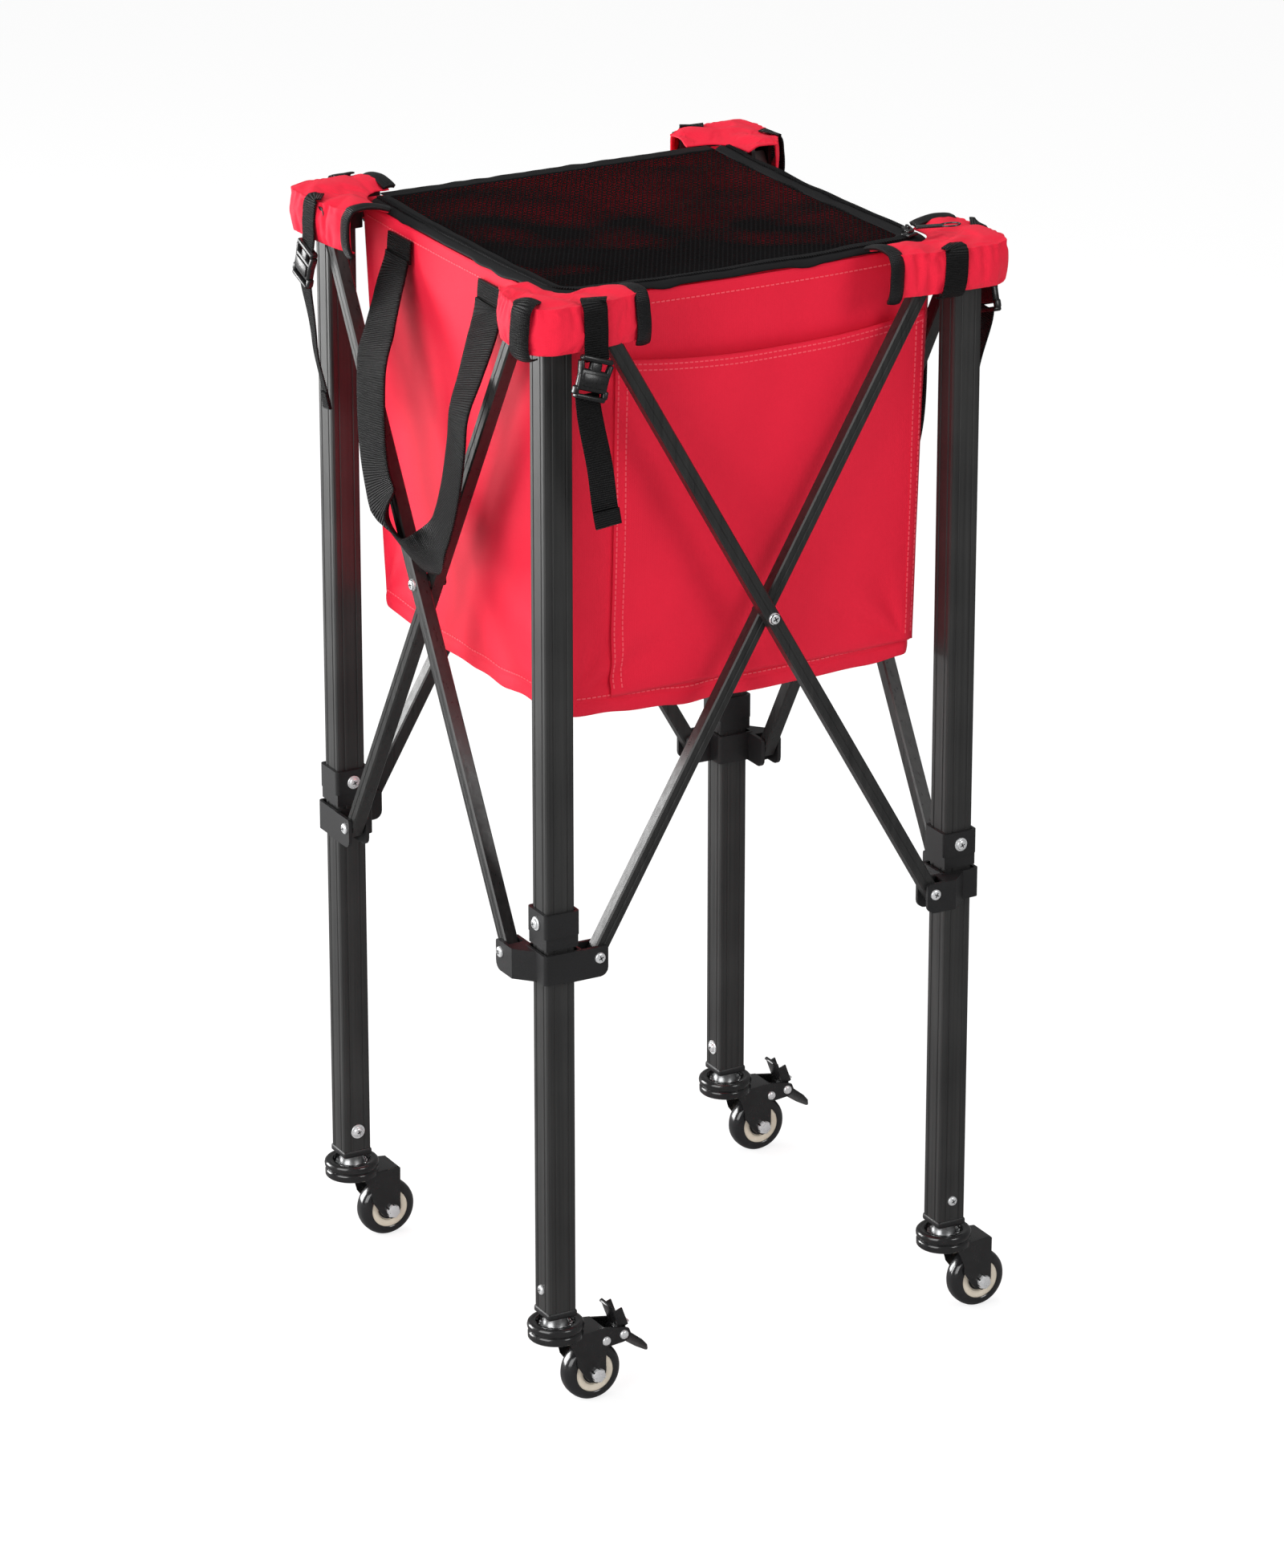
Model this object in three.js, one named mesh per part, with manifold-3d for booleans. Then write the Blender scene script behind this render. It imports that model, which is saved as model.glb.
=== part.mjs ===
// Folding ball cart: four square legs on swivel casters, joined on each side by a pair of
// crossed bars, with a cloth bag and net lid hung between the leg tops.
// Units are millimetres, +Z is up, +X runs to the right along the front, +Y to the back.
// The origin is on the floor under the centre of the square of the four legs.
import * as THREE from "three";
import { ConvexGeometry } from "three/addons/geometries/ConvexGeometry.js";
import { mergeVertices } from "three/addons/utils/BufferGeometryUtils.js";
import Module from "manifold-3d";

const wasm = await Module();
wasm.setup();

// Clearances shared by the whole cart
const gap = 0.3;
const overrun = 2;

// Legs
const legSpacing = 364;
const tubeSide = 25;
const tubeWall = 1.5;
const tubeCorner = 2.4;
const tubeBottom = 87;
const tubeOverPivot = 11;
const grooveWidth = 1.6;
const grooveDepth = 0.5;
const grooveInset = 5.6;

// Crossed bars and their pivots
const topPivotHeight = 906;
const sliderPivotHeight = 388;
const tubeTop = topPivotHeight + tubeOverPivot;
const pivotReach = 32.1;
const barSide = 12;
const barCorner = 1.2;
const barOver = 5.6;
const barGrooveWidth = 2;
const barGrooveDepth = 0.4;
const barGap = 1.5;
const pinRadius = 2.6;
const pinSlack = 0.35;
const crossPinRadius = 3;
const crossWasher = 5.5;
const crossHead = 4.6;
const crossHeadHeight = 2.2;

// Moulded top brackets and sliders
const sleeveWall = 4.2;
const sleeveCorner = 3.4;
const earWall = 3;
const earClear = 0.4;
const earReach = 39.5;
const earRound = 7;
const webReach = 22.6;
const facetStart = -2;
const facetEnd = 13;
const earAbove = 9.2;
const earBelow = 16;
const sliderOverPivot = 9.6;
const sliderUnderPivot = 15;
const sliderTop = sliderPivotHeight + sliderOverPivot;
const sliderBottom = sliderPivotHeight - sliderUnderPivot;
const recessDepth = 12;
const recessWall = 2.4;
const bracketUnderPivot = 13;
const bracketBottom = topPivotHeight - bracketUnderPivot;
const bracketRoof = 3;

// Stop collars above the sliders
const collarWall = 2.7;
const neckWall = 1.4;
const neckOverSlider = 2.8;
const neckLength = 10.2;
const collarLength = 20.1;
const neckBottom = sliderTop + neckOverSlider;
const collarBottom = neckBottom + neckLength;
const collarTop = collarBottom + collarLength;

// Foot plugs and king pins
const plugFlange = 5;
const plugDepth = 18;
const kingHeadRadius = 9;
const kingHeadHeight = 2.2;
const kingRadius = 6;
const raceRadius = 13.8;
const raceHeight = 2.4;
const coneRadius = 8.6;
const coneHeight = 3.6;

// Casters
const wheelRadius = 25;
const wheelWidth = 18;
const treadShoulder = 4;
const hubRadius = 18.6;
const hubRecess = 1.6;
const hubBossRadius = 7;
const hubRing = 3.4;
const axleRadius = 3;
const trail = 31;
const headRadius = 22;
const headBottom = 62.2;
const headBand = 5.2;
const headLip = 75.4;
const lipWidth = 7.4;
const forkSheet = 2;
const forkHalfWidth = 12.5;
const bossEdge = 8.2;
const forkTail = 8.6;
const forkShoulder = 64.5;
const axleHeadAcross = 10;
const axleHeadHeight = 4.2;

// Brake pedals on two of the casters
const brakePivotX = 55.7;
const brakePivotZ = 54.6;
const brakeEndRadius = 6.4;
const brakeRootX = 34;
const brakeRootBottom = 46;
const brakePinRadius = 2.4;
const pedalSheet = 2;
const pedalHalfWidth = 9.9;
const pedalHubRadius = 4.6;
const pedalTipX = 84;
const pedalTipZ = 29.5;
const pedalTopX = 46.5;
const pedalTopZ = 80;
const pedalCamReach = 12.6;

// Bag
const rimInset = 14;
const bagTaper = 11;
const bagTopHalf = legSpacing / 2 - rimInset;
const bagBottomHalf = bagTopHalf - bagTaper;
const rimOverPivot = 11;
const rimHeight = topPivotHeight + rimOverPivot;
const rimDip = 3;
const bagDepth = 341;
const bagBottom = rimHeight - bagDepth;
const bagSag = 6;
const clothThickness = 3;
const clothBulge = 4;
const bagCornerGap = 0.6;
const floorThickness = 4;
const pocketLeftInset = 49;
const pocketRightInset = 10;
const pocketLeft = pocketLeftInset - bagTopHalf;
const pocketRight = bagTopHalf - pocketRightInset;
const pocketUnderRim = 55;
const pocketRise = 10;
const pocketTop = rimHeight - pocketUnderRim;
const pocketBottom = bagBottom + pocketRise;
const pocketDepth = 8.2;
const pocketCloth = 2;
const pocketDip = 9;

// Net lid
const lidInset = 4;
const lidHalf = bagTopHalf - lidInset;
const lidCornerCut = 26;
const lidThickness = 2.4;
const lidBorder = 15;
const hemDepth = 12;
const hemLip = 10;
const netPitch = 40;
const netBar = 5;

// Corner caps over the leg tops
const capOuter = 33.6;
const capInner = 9.6;
const capReach = 69;
const capOverTube = 9;
const capUnderPivot = 17.4;
const capTop = tubeTop + capOverTube;
const capBottom = topPivotHeight - capUnderPivot;
const capCloth = 2.3;
const capEdge = 5;
const capRound = 19;
const bandWidth = 20;
const bandCloth = 1.3;
const bandPlace = 14;

// Straps with side release buckles
const strapWidth = 20;
const strapCloth = 1.5;
const strapPlace = 21;
const strapUnderTop = 7;
const buckleUnderCap = 4.6;
const buckleLength = 32;
const strapTop = capTop - strapUnderTop;
const buckleTop = capBottom - buckleUnderCap;
const buckleBottom = buckleTop - buckleLength;
const buckleWidth = 27;
const buckleThickness = 8;
const buckleRound = 3;
const tailLength = 107;
const tailBottom = buckleBottom - tailLength;
const tailDrift = 16;
const tailSwing = 5;
const tailSteps = 5;

// Carrying handles
const handleWidth = 38;
const handleCloth = 2.4;
const handleSpread = 77;
const handleRootDrift = -13;
const handleDrift = 27;
const handleUnderRim = 27;
const handleRootLength = 14;
const handleTurnLength = 24;
const handleLoopLength = 174;
const handleRootTop = rimHeight - handleUnderRim;
const handleRootBottom = handleRootTop - handleRootLength;
const handleTurnHeight = handleRootBottom - handleTurnLength;
const handleBottom = handleTurnHeight - handleLoopLength;
const handleOverLeg = 31;
const handleOut = legSpacing / 2 + handleOverLeg;
const handleSteps = 26;
const handleNarrowShares = [0.97, 0.86, 0.42];
const handleTwistShares = [0.3, 0.7];

// Counts of facets
const pinSides = 8;
const roundSides = 16;
const wheelSides = 20;
const arcSteps = 2;
const wallColumns = 8;
const wallRows = 6;
const pocketRows = 5;

const legHalf = legSpacing / 2;
const tubeHalf = tubeSide / 2;
const sleeveHalf = tubeHalf + gap + sleeveWall;
const innerPlane = sleeveHalf - earWall - earClear - barSide / 2;
const outerPlane = innerPlane + barSide + barGap;
const pivotHalf = legHalf - pivotReach;
const pivotDrop = topPivotHeight - sliderPivotHeight;
const pivotLength = Math.hypot(2 * pivotHalf, pivotDrop);
const barTilt = Math.atan2(pivotDrop, 2 * pivotHalf);
const crossHeight = (topPivotHeight + sliderPivotHeight) / 2;
const forkInner = forkHalfWidth - forkSheet;
const quarter = Math.PI / 2;

const tubePaint = material(0x24262a, 0.42, 0.55);
const nylon = material(0x2a2b2e, 0.6, 0.05);
const blackSteel = material(0x1c1d1f, 0.34, 0.6);
const zinc = material(0xc9ccce, 0.28, 0.95);
const treadRubber = material(0x17181a, 0.3, 0.0);
const redCloth = material(0xe11e37, 0.82, 0.0);
const blackWebbing = material(0x1b1b1d, 0.88, 0.0);
const netCloth = material(0x131315, 0.8, 0.0);

function material(color, roughness, metalness) {
  return new THREE.MeshStandardMaterial({ color, roughness, metalness });
}

function solid(geometry) {
  const bare = geometry.clone();
  bare.deleteAttribute("normal");
  bare.deleteAttribute("uv");
  const merged = mergeVertices(bare);
  return new wasm.Manifold(new wasm.Mesh({
    numProp: 3,
    vertProperties: new Float32Array(merged.attributes.position.array),
    triVerts: new Uint32Array(merged.index.array),
  }));
}

function geometryOf(body) {
  const made = body.getMesh();
  const geometry = new THREE.BufferGeometry();
  geometry.setAttribute("position", new THREE.BufferAttribute(new Float32Array(made.vertProperties), 3));
  geometry.setIndex(new THREE.BufferAttribute(new Uint32Array(made.triVerts), 1));
  return geometry;
}

function piece(name, body, look) {
  const geometry = body.isBufferGeometry ? body : geometryOf(body);
  const mesh = new THREE.Mesh(geometry, look);
  mesh.name = name;
  return mesh;
}

// Box between two opposite corners
function block(x0, x1, y0, y1, z0, z1) {
  const geometry = new THREE.BoxGeometry(x1 - x0, y1 - y0, z1 - z0);
  geometry.translate((x0 + x1) / 2, (y0 + y1) / 2, (z0 + z1) / 2);
  return solid(geometry);
}

function roundedRectangle(halfWidth, halfHeight, radius) {
  const shape = new THREE.Shape();
  shape.moveTo(radius - halfWidth, -halfHeight);
  shape.lineTo(halfWidth - radius, -halfHeight);
  shape.absarc(halfWidth - radius, radius - halfHeight, radius, -quarter, 0, false);
  shape.absarc(halfWidth - radius, halfHeight - radius, radius, 0, quarter, false);
  shape.absarc(radius - halfWidth, halfHeight - radius, radius, quarter, 2 * quarter, false);
  shape.absarc(radius - halfWidth, radius - halfHeight, radius, 2 * quarter, 3 * quarter, false);
  shape.closePath();
  return shape;
}

// Upright prism on a plan outline
function upright(shape, bottom, top) {
  const geometry = new THREE.ExtrudeGeometry(shape, {
    depth: top - bottom,
    bevelEnabled: false,
    curveSegments: arcSteps,
  });
  geometry.translate(0, 0, bottom);
  return solid(geometry);
}

// Prism on an outline drawn in X and Z, reaching from y0 to y1
function crosswise(shape, y0, y1) {
  const geometry = new THREE.ExtrudeGeometry(shape, {
    depth: y1 - y0,
    bevelEnabled: false,
    curveSegments: arcSteps,
  });
  geometry.rotateX(quarter);
  geometry.translate(0, y1, 0);
  return solid(geometry);
}

function polygon(points) {
  return new THREE.Shape(points.map(([x, y]) => new THREE.Vector2(x, y)));
}

// Cylinder along Y
function rodY(radius, x, z, y0, y1, sides) {
  const geometry = new THREE.CylinderGeometry(radius, radius, y1 - y0, sides);
  geometry.translate(x, (y0 + y1) / 2, z);
  return solid(geometry);
}

// Cylinder along Z
function rodZ(radius, bottom, top, sides) {
  const geometry = new THREE.CylinderGeometry(radius, radius, top - bottom, sides);
  geometry.rotateX(quarter);
  geometry.translate(0, 0, (bottom + top) / 2);
  return solid(geometry);
}

// Body of revolution about Z from a closed outline of radius and height
function turned(profile, sides) {
  const points = profile.map(([r, z]) => new THREE.Vector2(r, z));
  const geometry = new THREE.LatheGeometry(points, sides);
  geometry.rotateX(quarter);
  return solid(geometry);
}

// Mirror image that swaps X and Y, with its faces kept outwards
function swapped(body) {
  const geometry = geometryOf(body);
  const position = geometry.attributes.position;
  for (let i = 0; i < position.count; i += 1) {
    position.setXYZ(i, position.getY(i), position.getX(i), position.getZ(i));
  }
  const index = geometry.index;
  for (let i = 0; i < index.count; i += 3) {
    const second = index.getX(i + 1);
    index.setX(i + 1, index.getX(i + 2));
    index.setX(i + 2, second);
  }
  return solid(geometry);
}

// Square tube section with two shallow grooves on each face
function groovedSquare(half, corner, inset, width, depth) {
  const side = [];
  side.push([corner - half, -half]);
  for (const groove of [inset - half, half - inset - width]) {
    side.push([groove, -half]);
    side.push([groove + width / 4, depth - half]);
    side.push([groove + width * 3 / 4, depth - half]);
    side.push([groove + width, -half]);
  }
  side.push([half - corner, -half]);
  const cornerArc = [];
  for (let i = 1; i < arcSteps; i += 1) {
    const turn = -quarter + quarter * i / arcSteps;
    cornerArc.push([half - corner + corner * Math.cos(turn), corner - half + corner * Math.sin(turn)]);
  }
  const all = [];
  for (let k = 0; k < 4; k += 1) {
    for (const [x, y] of [...side, ...cornerArc]) {
      const turned4 = new THREE.Vector2(x, y).rotateAround(new THREE.Vector2(0, 0), k * quarter);
      all.push([turned4.x, turned4.y]);
    }
  }
  return polygon(all);
}

function squareHole(half) {
  return polygon([[-half, -half], [-half, half], [half, half], [half, -half]]);
}

function legTube() {
  const shape = groovedSquare(tubeHalf, tubeCorner, grooveInset, grooveWidth, grooveDepth);
  shape.holes.push(squareHole(tubeHalf - tubeWall));
  return upright(shape, tubeBottom, tubeTop);
}

// Outline in X and Z of an ear, with its far corner rounded on the side away from the bar
function earOutline(pivotHeight, away) {
  const bottom = pivotHeight - (away < 0 ? earBelow : earAbove);
  const top = pivotHeight + (away < 0 ? earAbove : earBelow);
  const shape = new THREE.Shape();
  const start = facetStart - overrun;
  const small = earRound / 3;
  const lower = away < 0 ? earRound : small;
  const upper = away < 0 ? small : earRound;
  shape.moveTo(start, bottom);
  shape.lineTo(earReach - lower, bottom);
  shape.absarc(earReach - lower, bottom + lower, lower, -quarter, 0, false);
  shape.absarc(earReach - upper, top - upper, upper, 0, quarter, false);
  shape.lineTo(start, top);
  shape.closePath();
  return shape;
}

// Forked ear towards +X that holds a bar end on its pin, outside the sleeve on the -Y side
function ear(stepped, pivotHeight, away, bottom, top) {
  const plane = stepped ? outerPlane : innerPlane;
  const near = plane - barSide / 2 - earClear;
  const far = plane + barSide / 2 + earClear;
  const outline = crosswise(earOutline(pivotHeight, away), -(far + earWall), earWall - near);
  const inner = polygon([
    [0, earWall - near],
    [0, -near],
    [earReach, -near],
    [earReach, earWall - near],
  ]);
  let body = upright(inner, bottom, top);
  if (stepped) {
    const web = polygon([
      [facetStart, -(sleeveHalf - earWall)],
      [facetStart, -sleeveHalf],
      [facetEnd, -(far + earWall)],
      [earReach, -(far + earWall)],
      [earReach, -far],
      [webReach, -far],
      [webReach, -(sleeveHalf - earWall)],
    ]);
    body = body.add(upright(web, bottom, top));
  } else {
    const wall = polygon([[0, -(far + earWall)], [earReach, -(far + earWall)], [earReach, -far], [0, -far]]);
    body = body.add(upright(wall, bottom, top));
  }
  const pin = rodY(pinRadius, pivotReach, pivotHeight, -(far + earWall / 2), earWall / 2 - near, pinSides);
  return body.intersect(outline).add(pin);
}

function sleeve(bottom, top) {
  const shape = roundedRectangle(sleeveHalf, sleeveHalf, sleeveCorner);
  return upright(shape, bottom, top);
}

function slider() {
  const bore = block(-tubeHalf - gap, tubeHalf + gap, -tubeHalf - gap, tubeHalf + gap,
    sliderBottom - overrun, sliderTop + overrun);
  const recessHalf = sleeveHalf - recessWall;
  const recess = block(-recessHalf, recessHalf, -recessHalf, recessHalf,
    sliderTop - recessDepth, sliderTop + overrun);
  const earBottom = sliderPivotHeight - earBelow;
  const earTop = sliderPivotHeight + earAbove;
  const flush = ear(false, sliderPivotHeight, -1, earBottom, earTop);
  const stepped = swapped(ear(true, sliderPivotHeight, -1, earBottom, earTop));
  return sleeve(sliderBottom, sliderTop).add(flush).add(stepped).subtract(bore).subtract(recess);
}

function topBracket() {
  const roof = tubeTop + gap + bracketRoof;
  const bore = block(-tubeHalf - gap, tubeHalf + gap, -tubeHalf - gap, tubeHalf + gap,
    bracketBottom - overrun, tubeTop + gap);
  const earBottom = topPivotHeight - earAbove;
  const earTop = topPivotHeight + earBelow;
  const stepped = ear(true, topPivotHeight, 1, earBottom, Math.min(earTop, roof));
  const flush = swapped(ear(false, topPivotHeight, 1, earBottom, Math.min(earTop, roof)));
  return sleeve(bracketBottom, roof).add(stepped).add(flush).subtract(bore);
}

function collar() {
  const half = tubeHalf + gap + collarWall;
  const neckHalf = tubeHalf + gap + neckWall;
  const body = upright(roundedRectangle(half, half, sleeveCorner), collarBottom, collarTop);
  const neck = block(-neckHalf, neckHalf, -neckHalf, neckHalf, neckBottom, collarBottom + gap);
  const bore = block(-tubeHalf - gap, tubeHalf + gap, -tubeHalf - gap, tubeHalf + gap,
    neckBottom - overrun, collarTop + overrun);
  return body.add(neck).subtract(bore);
}

// Plug in the tube end, the swivel race under it and the king pin that holds the fork
function foot() {
  const insertHalf = tubeHalf - tubeWall - gap;
  const flangeBottom = tubeBottom - gap - plugFlange;
  const headTop = headBottom - gap;
  const raceBottom = headBottom + headBand + gap;
  const flange = upright(roundedRectangle(tubeHalf, tubeHalf, tubeCorner), flangeBottom, tubeBottom - gap);
  const insert = block(-insertHalf, insertHalf, -insertHalf, insertHalf,
    tubeBottom - gap - overrun, tubeBottom + plugDepth);
  const king = turned([
    [0, headTop - kingHeadHeight],
    [kingHeadRadius - kingHeadHeight, headTop - kingHeadHeight],
    [kingHeadRadius, headTop],
    [kingRadius, headTop],
    [kingRadius, raceBottom],
    [raceRadius, raceBottom],
    [raceRadius, raceBottom + raceHeight],
    [coneRadius + coneHeight / 2, raceBottom + raceHeight + coneHeight / 2],
    [coneRadius, raceBottom + raceHeight + coneHeight],
    [coneRadius, flangeBottom + gap],
    [0, flangeBottom + gap],
  ], roundSides * 3 / 4);
  return flange.add(insert).add(king);
}

function circlePoints(cx, cz, radius, y, sides) {
  const found = [];
  for (let i = 0; i < sides; i += 1) {
    const turn = 2 * Math.PI * i / sides;
    found.push(new THREE.Vector3(cx + radius * Math.cos(turn), y, cz + radius * Math.sin(turn)));
  }
  return found;
}

function ringPoints(radius, z, sides) {
  const found = [];
  for (let i = 0; i < sides; i += 1) {
    const turn = 2 * Math.PI * i / sides;
    found.push(new THREE.Vector3(radius * Math.cos(turn), radius * Math.sin(turn), z));
  }
  return found;
}

// Pressed fork: a round head that flares down into two cheeks, with the axle bolt through them
function fork(withBrake) {
  const headTop = headBottom + headBand;
  const cheeks = [
    ...circlePoints(trail, wheelRadius, bossEdge, forkHalfWidth, roundSides / 2),
    ...circlePoints(trail, wheelRadius, bossEdge, -forkHalfWidth, roundSides / 2),
    new THREE.Vector3(trail + forkTail, forkHalfWidth, forkShoulder - forkSheet),
    new THREE.Vector3(trail + forkTail, -forkHalfWidth, forkShoulder - forkSheet),
    new THREE.Vector3(trail + forkTail - forkSheet, forkHalfWidth, forkShoulder),
    new THREE.Vector3(trail + forkTail - forkSheet, -forkHalfWidth, forkShoulder),
  ];
  const skin = solid(new ConvexGeometry([
    ...cheeks,
    ...ringPoints(headRadius - forkSheet, headBottom + gap, roundSides),
    ...ringPoints(headRadius - forkSheet, headTop - forkSheet, roundSides),
  ]));
  const under = solid(new ConvexGeometry([
    ...circlePoints(trail, wheelRadius, bossEdge + 2 * overrun, forkInner, roundSides / 2),
    ...circlePoints(trail, wheelRadius, bossEdge + 2 * overrun, -forkInner, roundSides / 2),
    new THREE.Vector3(trail + 2 * forkTail, forkInner, headBottom - forkSheet),
    new THREE.Vector3(trail + 2 * forkTail, -forkInner, headBottom - forkSheet),
    ...ringPoints(headRadius - forkSheet, headBottom - forkSheet, roundSides),
  ]));
  const lipInner = headRadius - lipWidth;
  const lipSide = headTop + forkSheet / 2;
  const lipRise = headLip - lipSide;
  const head = turned([
    [kingRadius + gap, headBottom],
    [headRadius - forkSheet / 2, headBottom],
    [headRadius, headBottom + forkSheet / 2],
    [headRadius, headTop],
    [headRadius - forkSheet / 2, lipSide],
    [headRadius, lipSide + lipRise / 3],
    [headRadius - lipWidth / 4, headLip],
    [headRadius - lipWidth * 3 / 4, headLip],
    [lipInner, lipSide],
    [lipInner, headTop],
    [kingRadius + gap, headTop],
    [kingRadius + gap, headBottom],
  ], roundSides);
  const bore = rodZ(kingRadius + gap, headBottom - 2 * overrun, headTop + overrun, roundSides);
  const kingRoom = rodZ(kingHeadRadius + gap, headBottom - 2 * forkSheet, headBottom, roundSides);
  let body = skin.subtract(under).subtract(kingRoom).subtract(bore).add(head);
  if (withBrake) {
    body = body.add(brakeCheeks());
  }
  const bolt = rodY(axleRadius, trail, wheelRadius, -forkHalfWidth - gap, forkHalfWidth + gap, pinSides);
  const corner = axleHeadAcross / Math.sqrt(3);
  const boltHead = rodY(corner, trail, wheelRadius, -forkHalfWidth - axleHeadHeight, gap - forkHalfWidth, 6);
  const nut = rodY(corner, trail, wheelRadius, forkHalfWidth - gap, forkHalfWidth + axleHeadHeight, 6);
  return body.add(bolt).add(boltHead).add(nut);
}

// Side plates that carry the brake pedal behind the wheel
function brakeCheeks() {
  const shape = new THREE.Shape();
  shape.moveTo(brakeRootX, brakeRootBottom);
  shape.lineTo(brakePivotX, brakePivotZ - brakeEndRadius);
  shape.absarc(brakePivotX, brakePivotZ, brakeEndRadius, -quarter, quarter, false);
  shape.lineTo(trail + forkTail - forkSheet, forkShoulder - gap);
  shape.lineTo(brakeRootX, forkShoulder - gap);
  shape.closePath();
  const near = crosswise(shape, -forkHalfWidth, -forkInner);
  const far = crosswise(shape, forkInner, forkHalfWidth);
  const pin = rodY(brakePinRadius, brakePivotX, brakePivotZ,
    gap - forkHalfWidth, forkHalfWidth - gap, pinSides);
  return near.add(far).add(pin);
}

// Rocking brake pedal: a foot tongue, a release lever and a cam that bears on the tread
function pedal() {
  const bar = (x0, z0, x1, z1, sheet, half) => {
    const along = new THREE.Vector2(x1 - x0, z1 - z0).normalize();
    const across = new THREE.Vector2(-along.y, along.x).multiplyScalar(sheet / 2);
    return crosswise(polygon([
      [x0 - across.x, z0 - across.y],
      [x1 - across.x, z1 - across.y],
      [x1 + across.x, z1 + across.y],
      [x0 + across.x, z0 + across.y],
    ]), -half, half);
  };
  const hub = rodY(pedalHubRadius, brakePivotX, brakePivotZ, -pedalHalfWidth, pedalHalfWidth, pinSides);
  const tongue = bar(brakePivotX + pedalSheet, brakePivotZ,
    pedalTipX, pedalTipZ, pedalSheet, pedalHalfWidth);
  const lever = bar(brakePivotX, brakePivotZ + pedalSheet,
    pedalTopX, pedalTopZ, pedalSheet, pedalHalfWidth);
  const toWheel = new THREE.Vector2(trail - brakePivotX, wheelRadius - brakePivotZ).normalize();
  const cam = bar(brakePivotX, brakePivotZ,
    brakePivotX + toWheel.x * pedalCamReach, brakePivotZ + toWheel.y * pedalCamReach,
    2 * pedalSheet, pedalHalfWidth - 2 * pedalSheet);
  const bore = rodY(brakePinRadius + gap, brakePivotX, brakePivotZ,
    -pedalHalfWidth - overrun, pedalHalfWidth + overrun, pinSides);
  return hub.add(tongue).add(lever).add(cam).subtract(bore);
}

function wheel() {
  const half = wheelWidth / 2;
  const bore = axleRadius + gap;
  const shoulder = treadShoulder;
  const dish = half - hubRecess;
  const rimInner = hubRadius - hubRing;
  const profile = [
    [bore, -half],
    [hubBossRadius, -half],
    [hubBossRadius, -dish],
    [rimInner, -dish],
    [rimInner, -half],
    [wheelRadius - shoulder * 3 / 4, -half],
    [wheelRadius, shoulder * 3 / 4 - half],
    [wheelRadius, half - shoulder * 3 / 4],
    [wheelRadius - shoulder * 3 / 4, half],
    [rimInner, half],
    [rimInner, dish],
    [hubBossRadius, dish],
    [hubBossRadius, half],
    [bore, half],
    [bore, -half],
  ];
  const points = profile.map(([r, y]) => new THREE.Vector2(r, y));
  return solid(new THREE.LatheGeometry(points, wheelSides));
}

// Bar of a crossed pair, centred on its middle pivot and lying along X
function bar(outer) {
  const half = barSide / 2;
  const shape = polygon([
    [barCorner - half, -half],
    [-barGrooveWidth / 2, -half],
    [-barGrooveWidth / 4, barGrooveDepth - half],
    [barGrooveWidth / 4, barGrooveDepth - half],
    [barGrooveWidth / 2, -half],
    [half - barCorner, -half],
    [half, barCorner - half],
    [half, half - barCorner],
    [half - barCorner, half],
    [barCorner - half, half],
    [-half, half - barCorner],
    [-half, barCorner - half],
  ]);
  const length = pivotLength + 2 * barOver;
  const geometry = new THREE.ExtrudeGeometry(shape, { depth: length, bevelEnabled: false });
  geometry.translate(0, 0, -length / 2);
  geometry.rotateY(quarter);
  let body = solid(geometry);
  const side = half + overrun;
  for (const end of [-1, 1]) {
    const hole = rodY(pinRadius + pinSlack, end * pivotLength / 2, 0, -side, side, pinSides);
    body = body.subtract(hole);
  }
  if (outer) {
    const across = half;
    const reach = across + barGap + barSide + crossHeadHeight;
    const pin = rodY(crossPinRadius, 0, 0, -across, reach, pinSides);
    const washer = rodY(crossWasher, 0, 0, across - gap, across + barGap - gap, pinSides);
    const inHead = rodY(crossHead, 0, 0, across + barGap + barSide + gap, reach, pinSides);
    const outHead = rodY(crossHead, 0, 0, -across - crossHeadHeight, gap - across, pinSides);
    return body.add(pin).add(washer).add(inHead).add(outHead);
  }
  const hole = rodY(crossPinRadius + pinSlack, 0, 0, -side, side, pinSides);
  return body.subtract(hole);
}

// Closed sheet of even thickness on a grid of outer points, made thick along one direction
function sheet(columns, rows, pointAt, inward) {
  const positions = [];
  const index = [];
  const layer = (columns + 1) * (rows + 1);
  for (const inner of [0, 1]) {
    for (let j = 0; j <= rows; j += 1) {
      for (let i = 0; i <= columns; i += 1) {
        const p = pointAt(i / columns, j / rows, inner);
        positions.push(p[0] + inner * inward[0], p[1] + inner * inward[1], p[2] + inner * inward[2]);
      }
    }
  }
  const at = (i, j, inner) => inner * layer + j * (columns + 1) + i;
  const quad = (a, b, c, d) => index.push(a, b, c, a, c, d);
  for (let j = 0; j < rows; j += 1) {
    for (let i = 0; i < columns; i += 1) {
      quad(at(i, j, 0), at(i + 1, j, 0), at(i + 1, j + 1, 0), at(i, j + 1, 0));
      quad(at(i, j, 1), at(i, j + 1, 1), at(i + 1, j + 1, 1), at(i + 1, j, 1));
    }
  }
  for (let i = 0; i < columns; i += 1) {
    quad(at(i, 0, 0), at(i, 0, 1), at(i + 1, 0, 1), at(i + 1, 0, 0));
    quad(at(i, rows, 0), at(i + 1, rows, 0), at(i + 1, rows, 1), at(i, rows, 1));
  }
  for (let j = 0; j < rows; j += 1) {
    quad(at(0, j, 0), at(0, j + 1, 0), at(0, j + 1, 1), at(0, j, 1));
    quad(at(columns, j, 0), at(columns, j, 1), at(columns, j + 1, 1), at(columns, j + 1, 0));
  }
  const geometry = new THREE.BufferGeometry();
  geometry.setAttribute("position", new THREE.BufferAttribute(new Float32Array(positions), 3));
  geometry.setIndex(index);
  return geometry;
}

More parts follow.
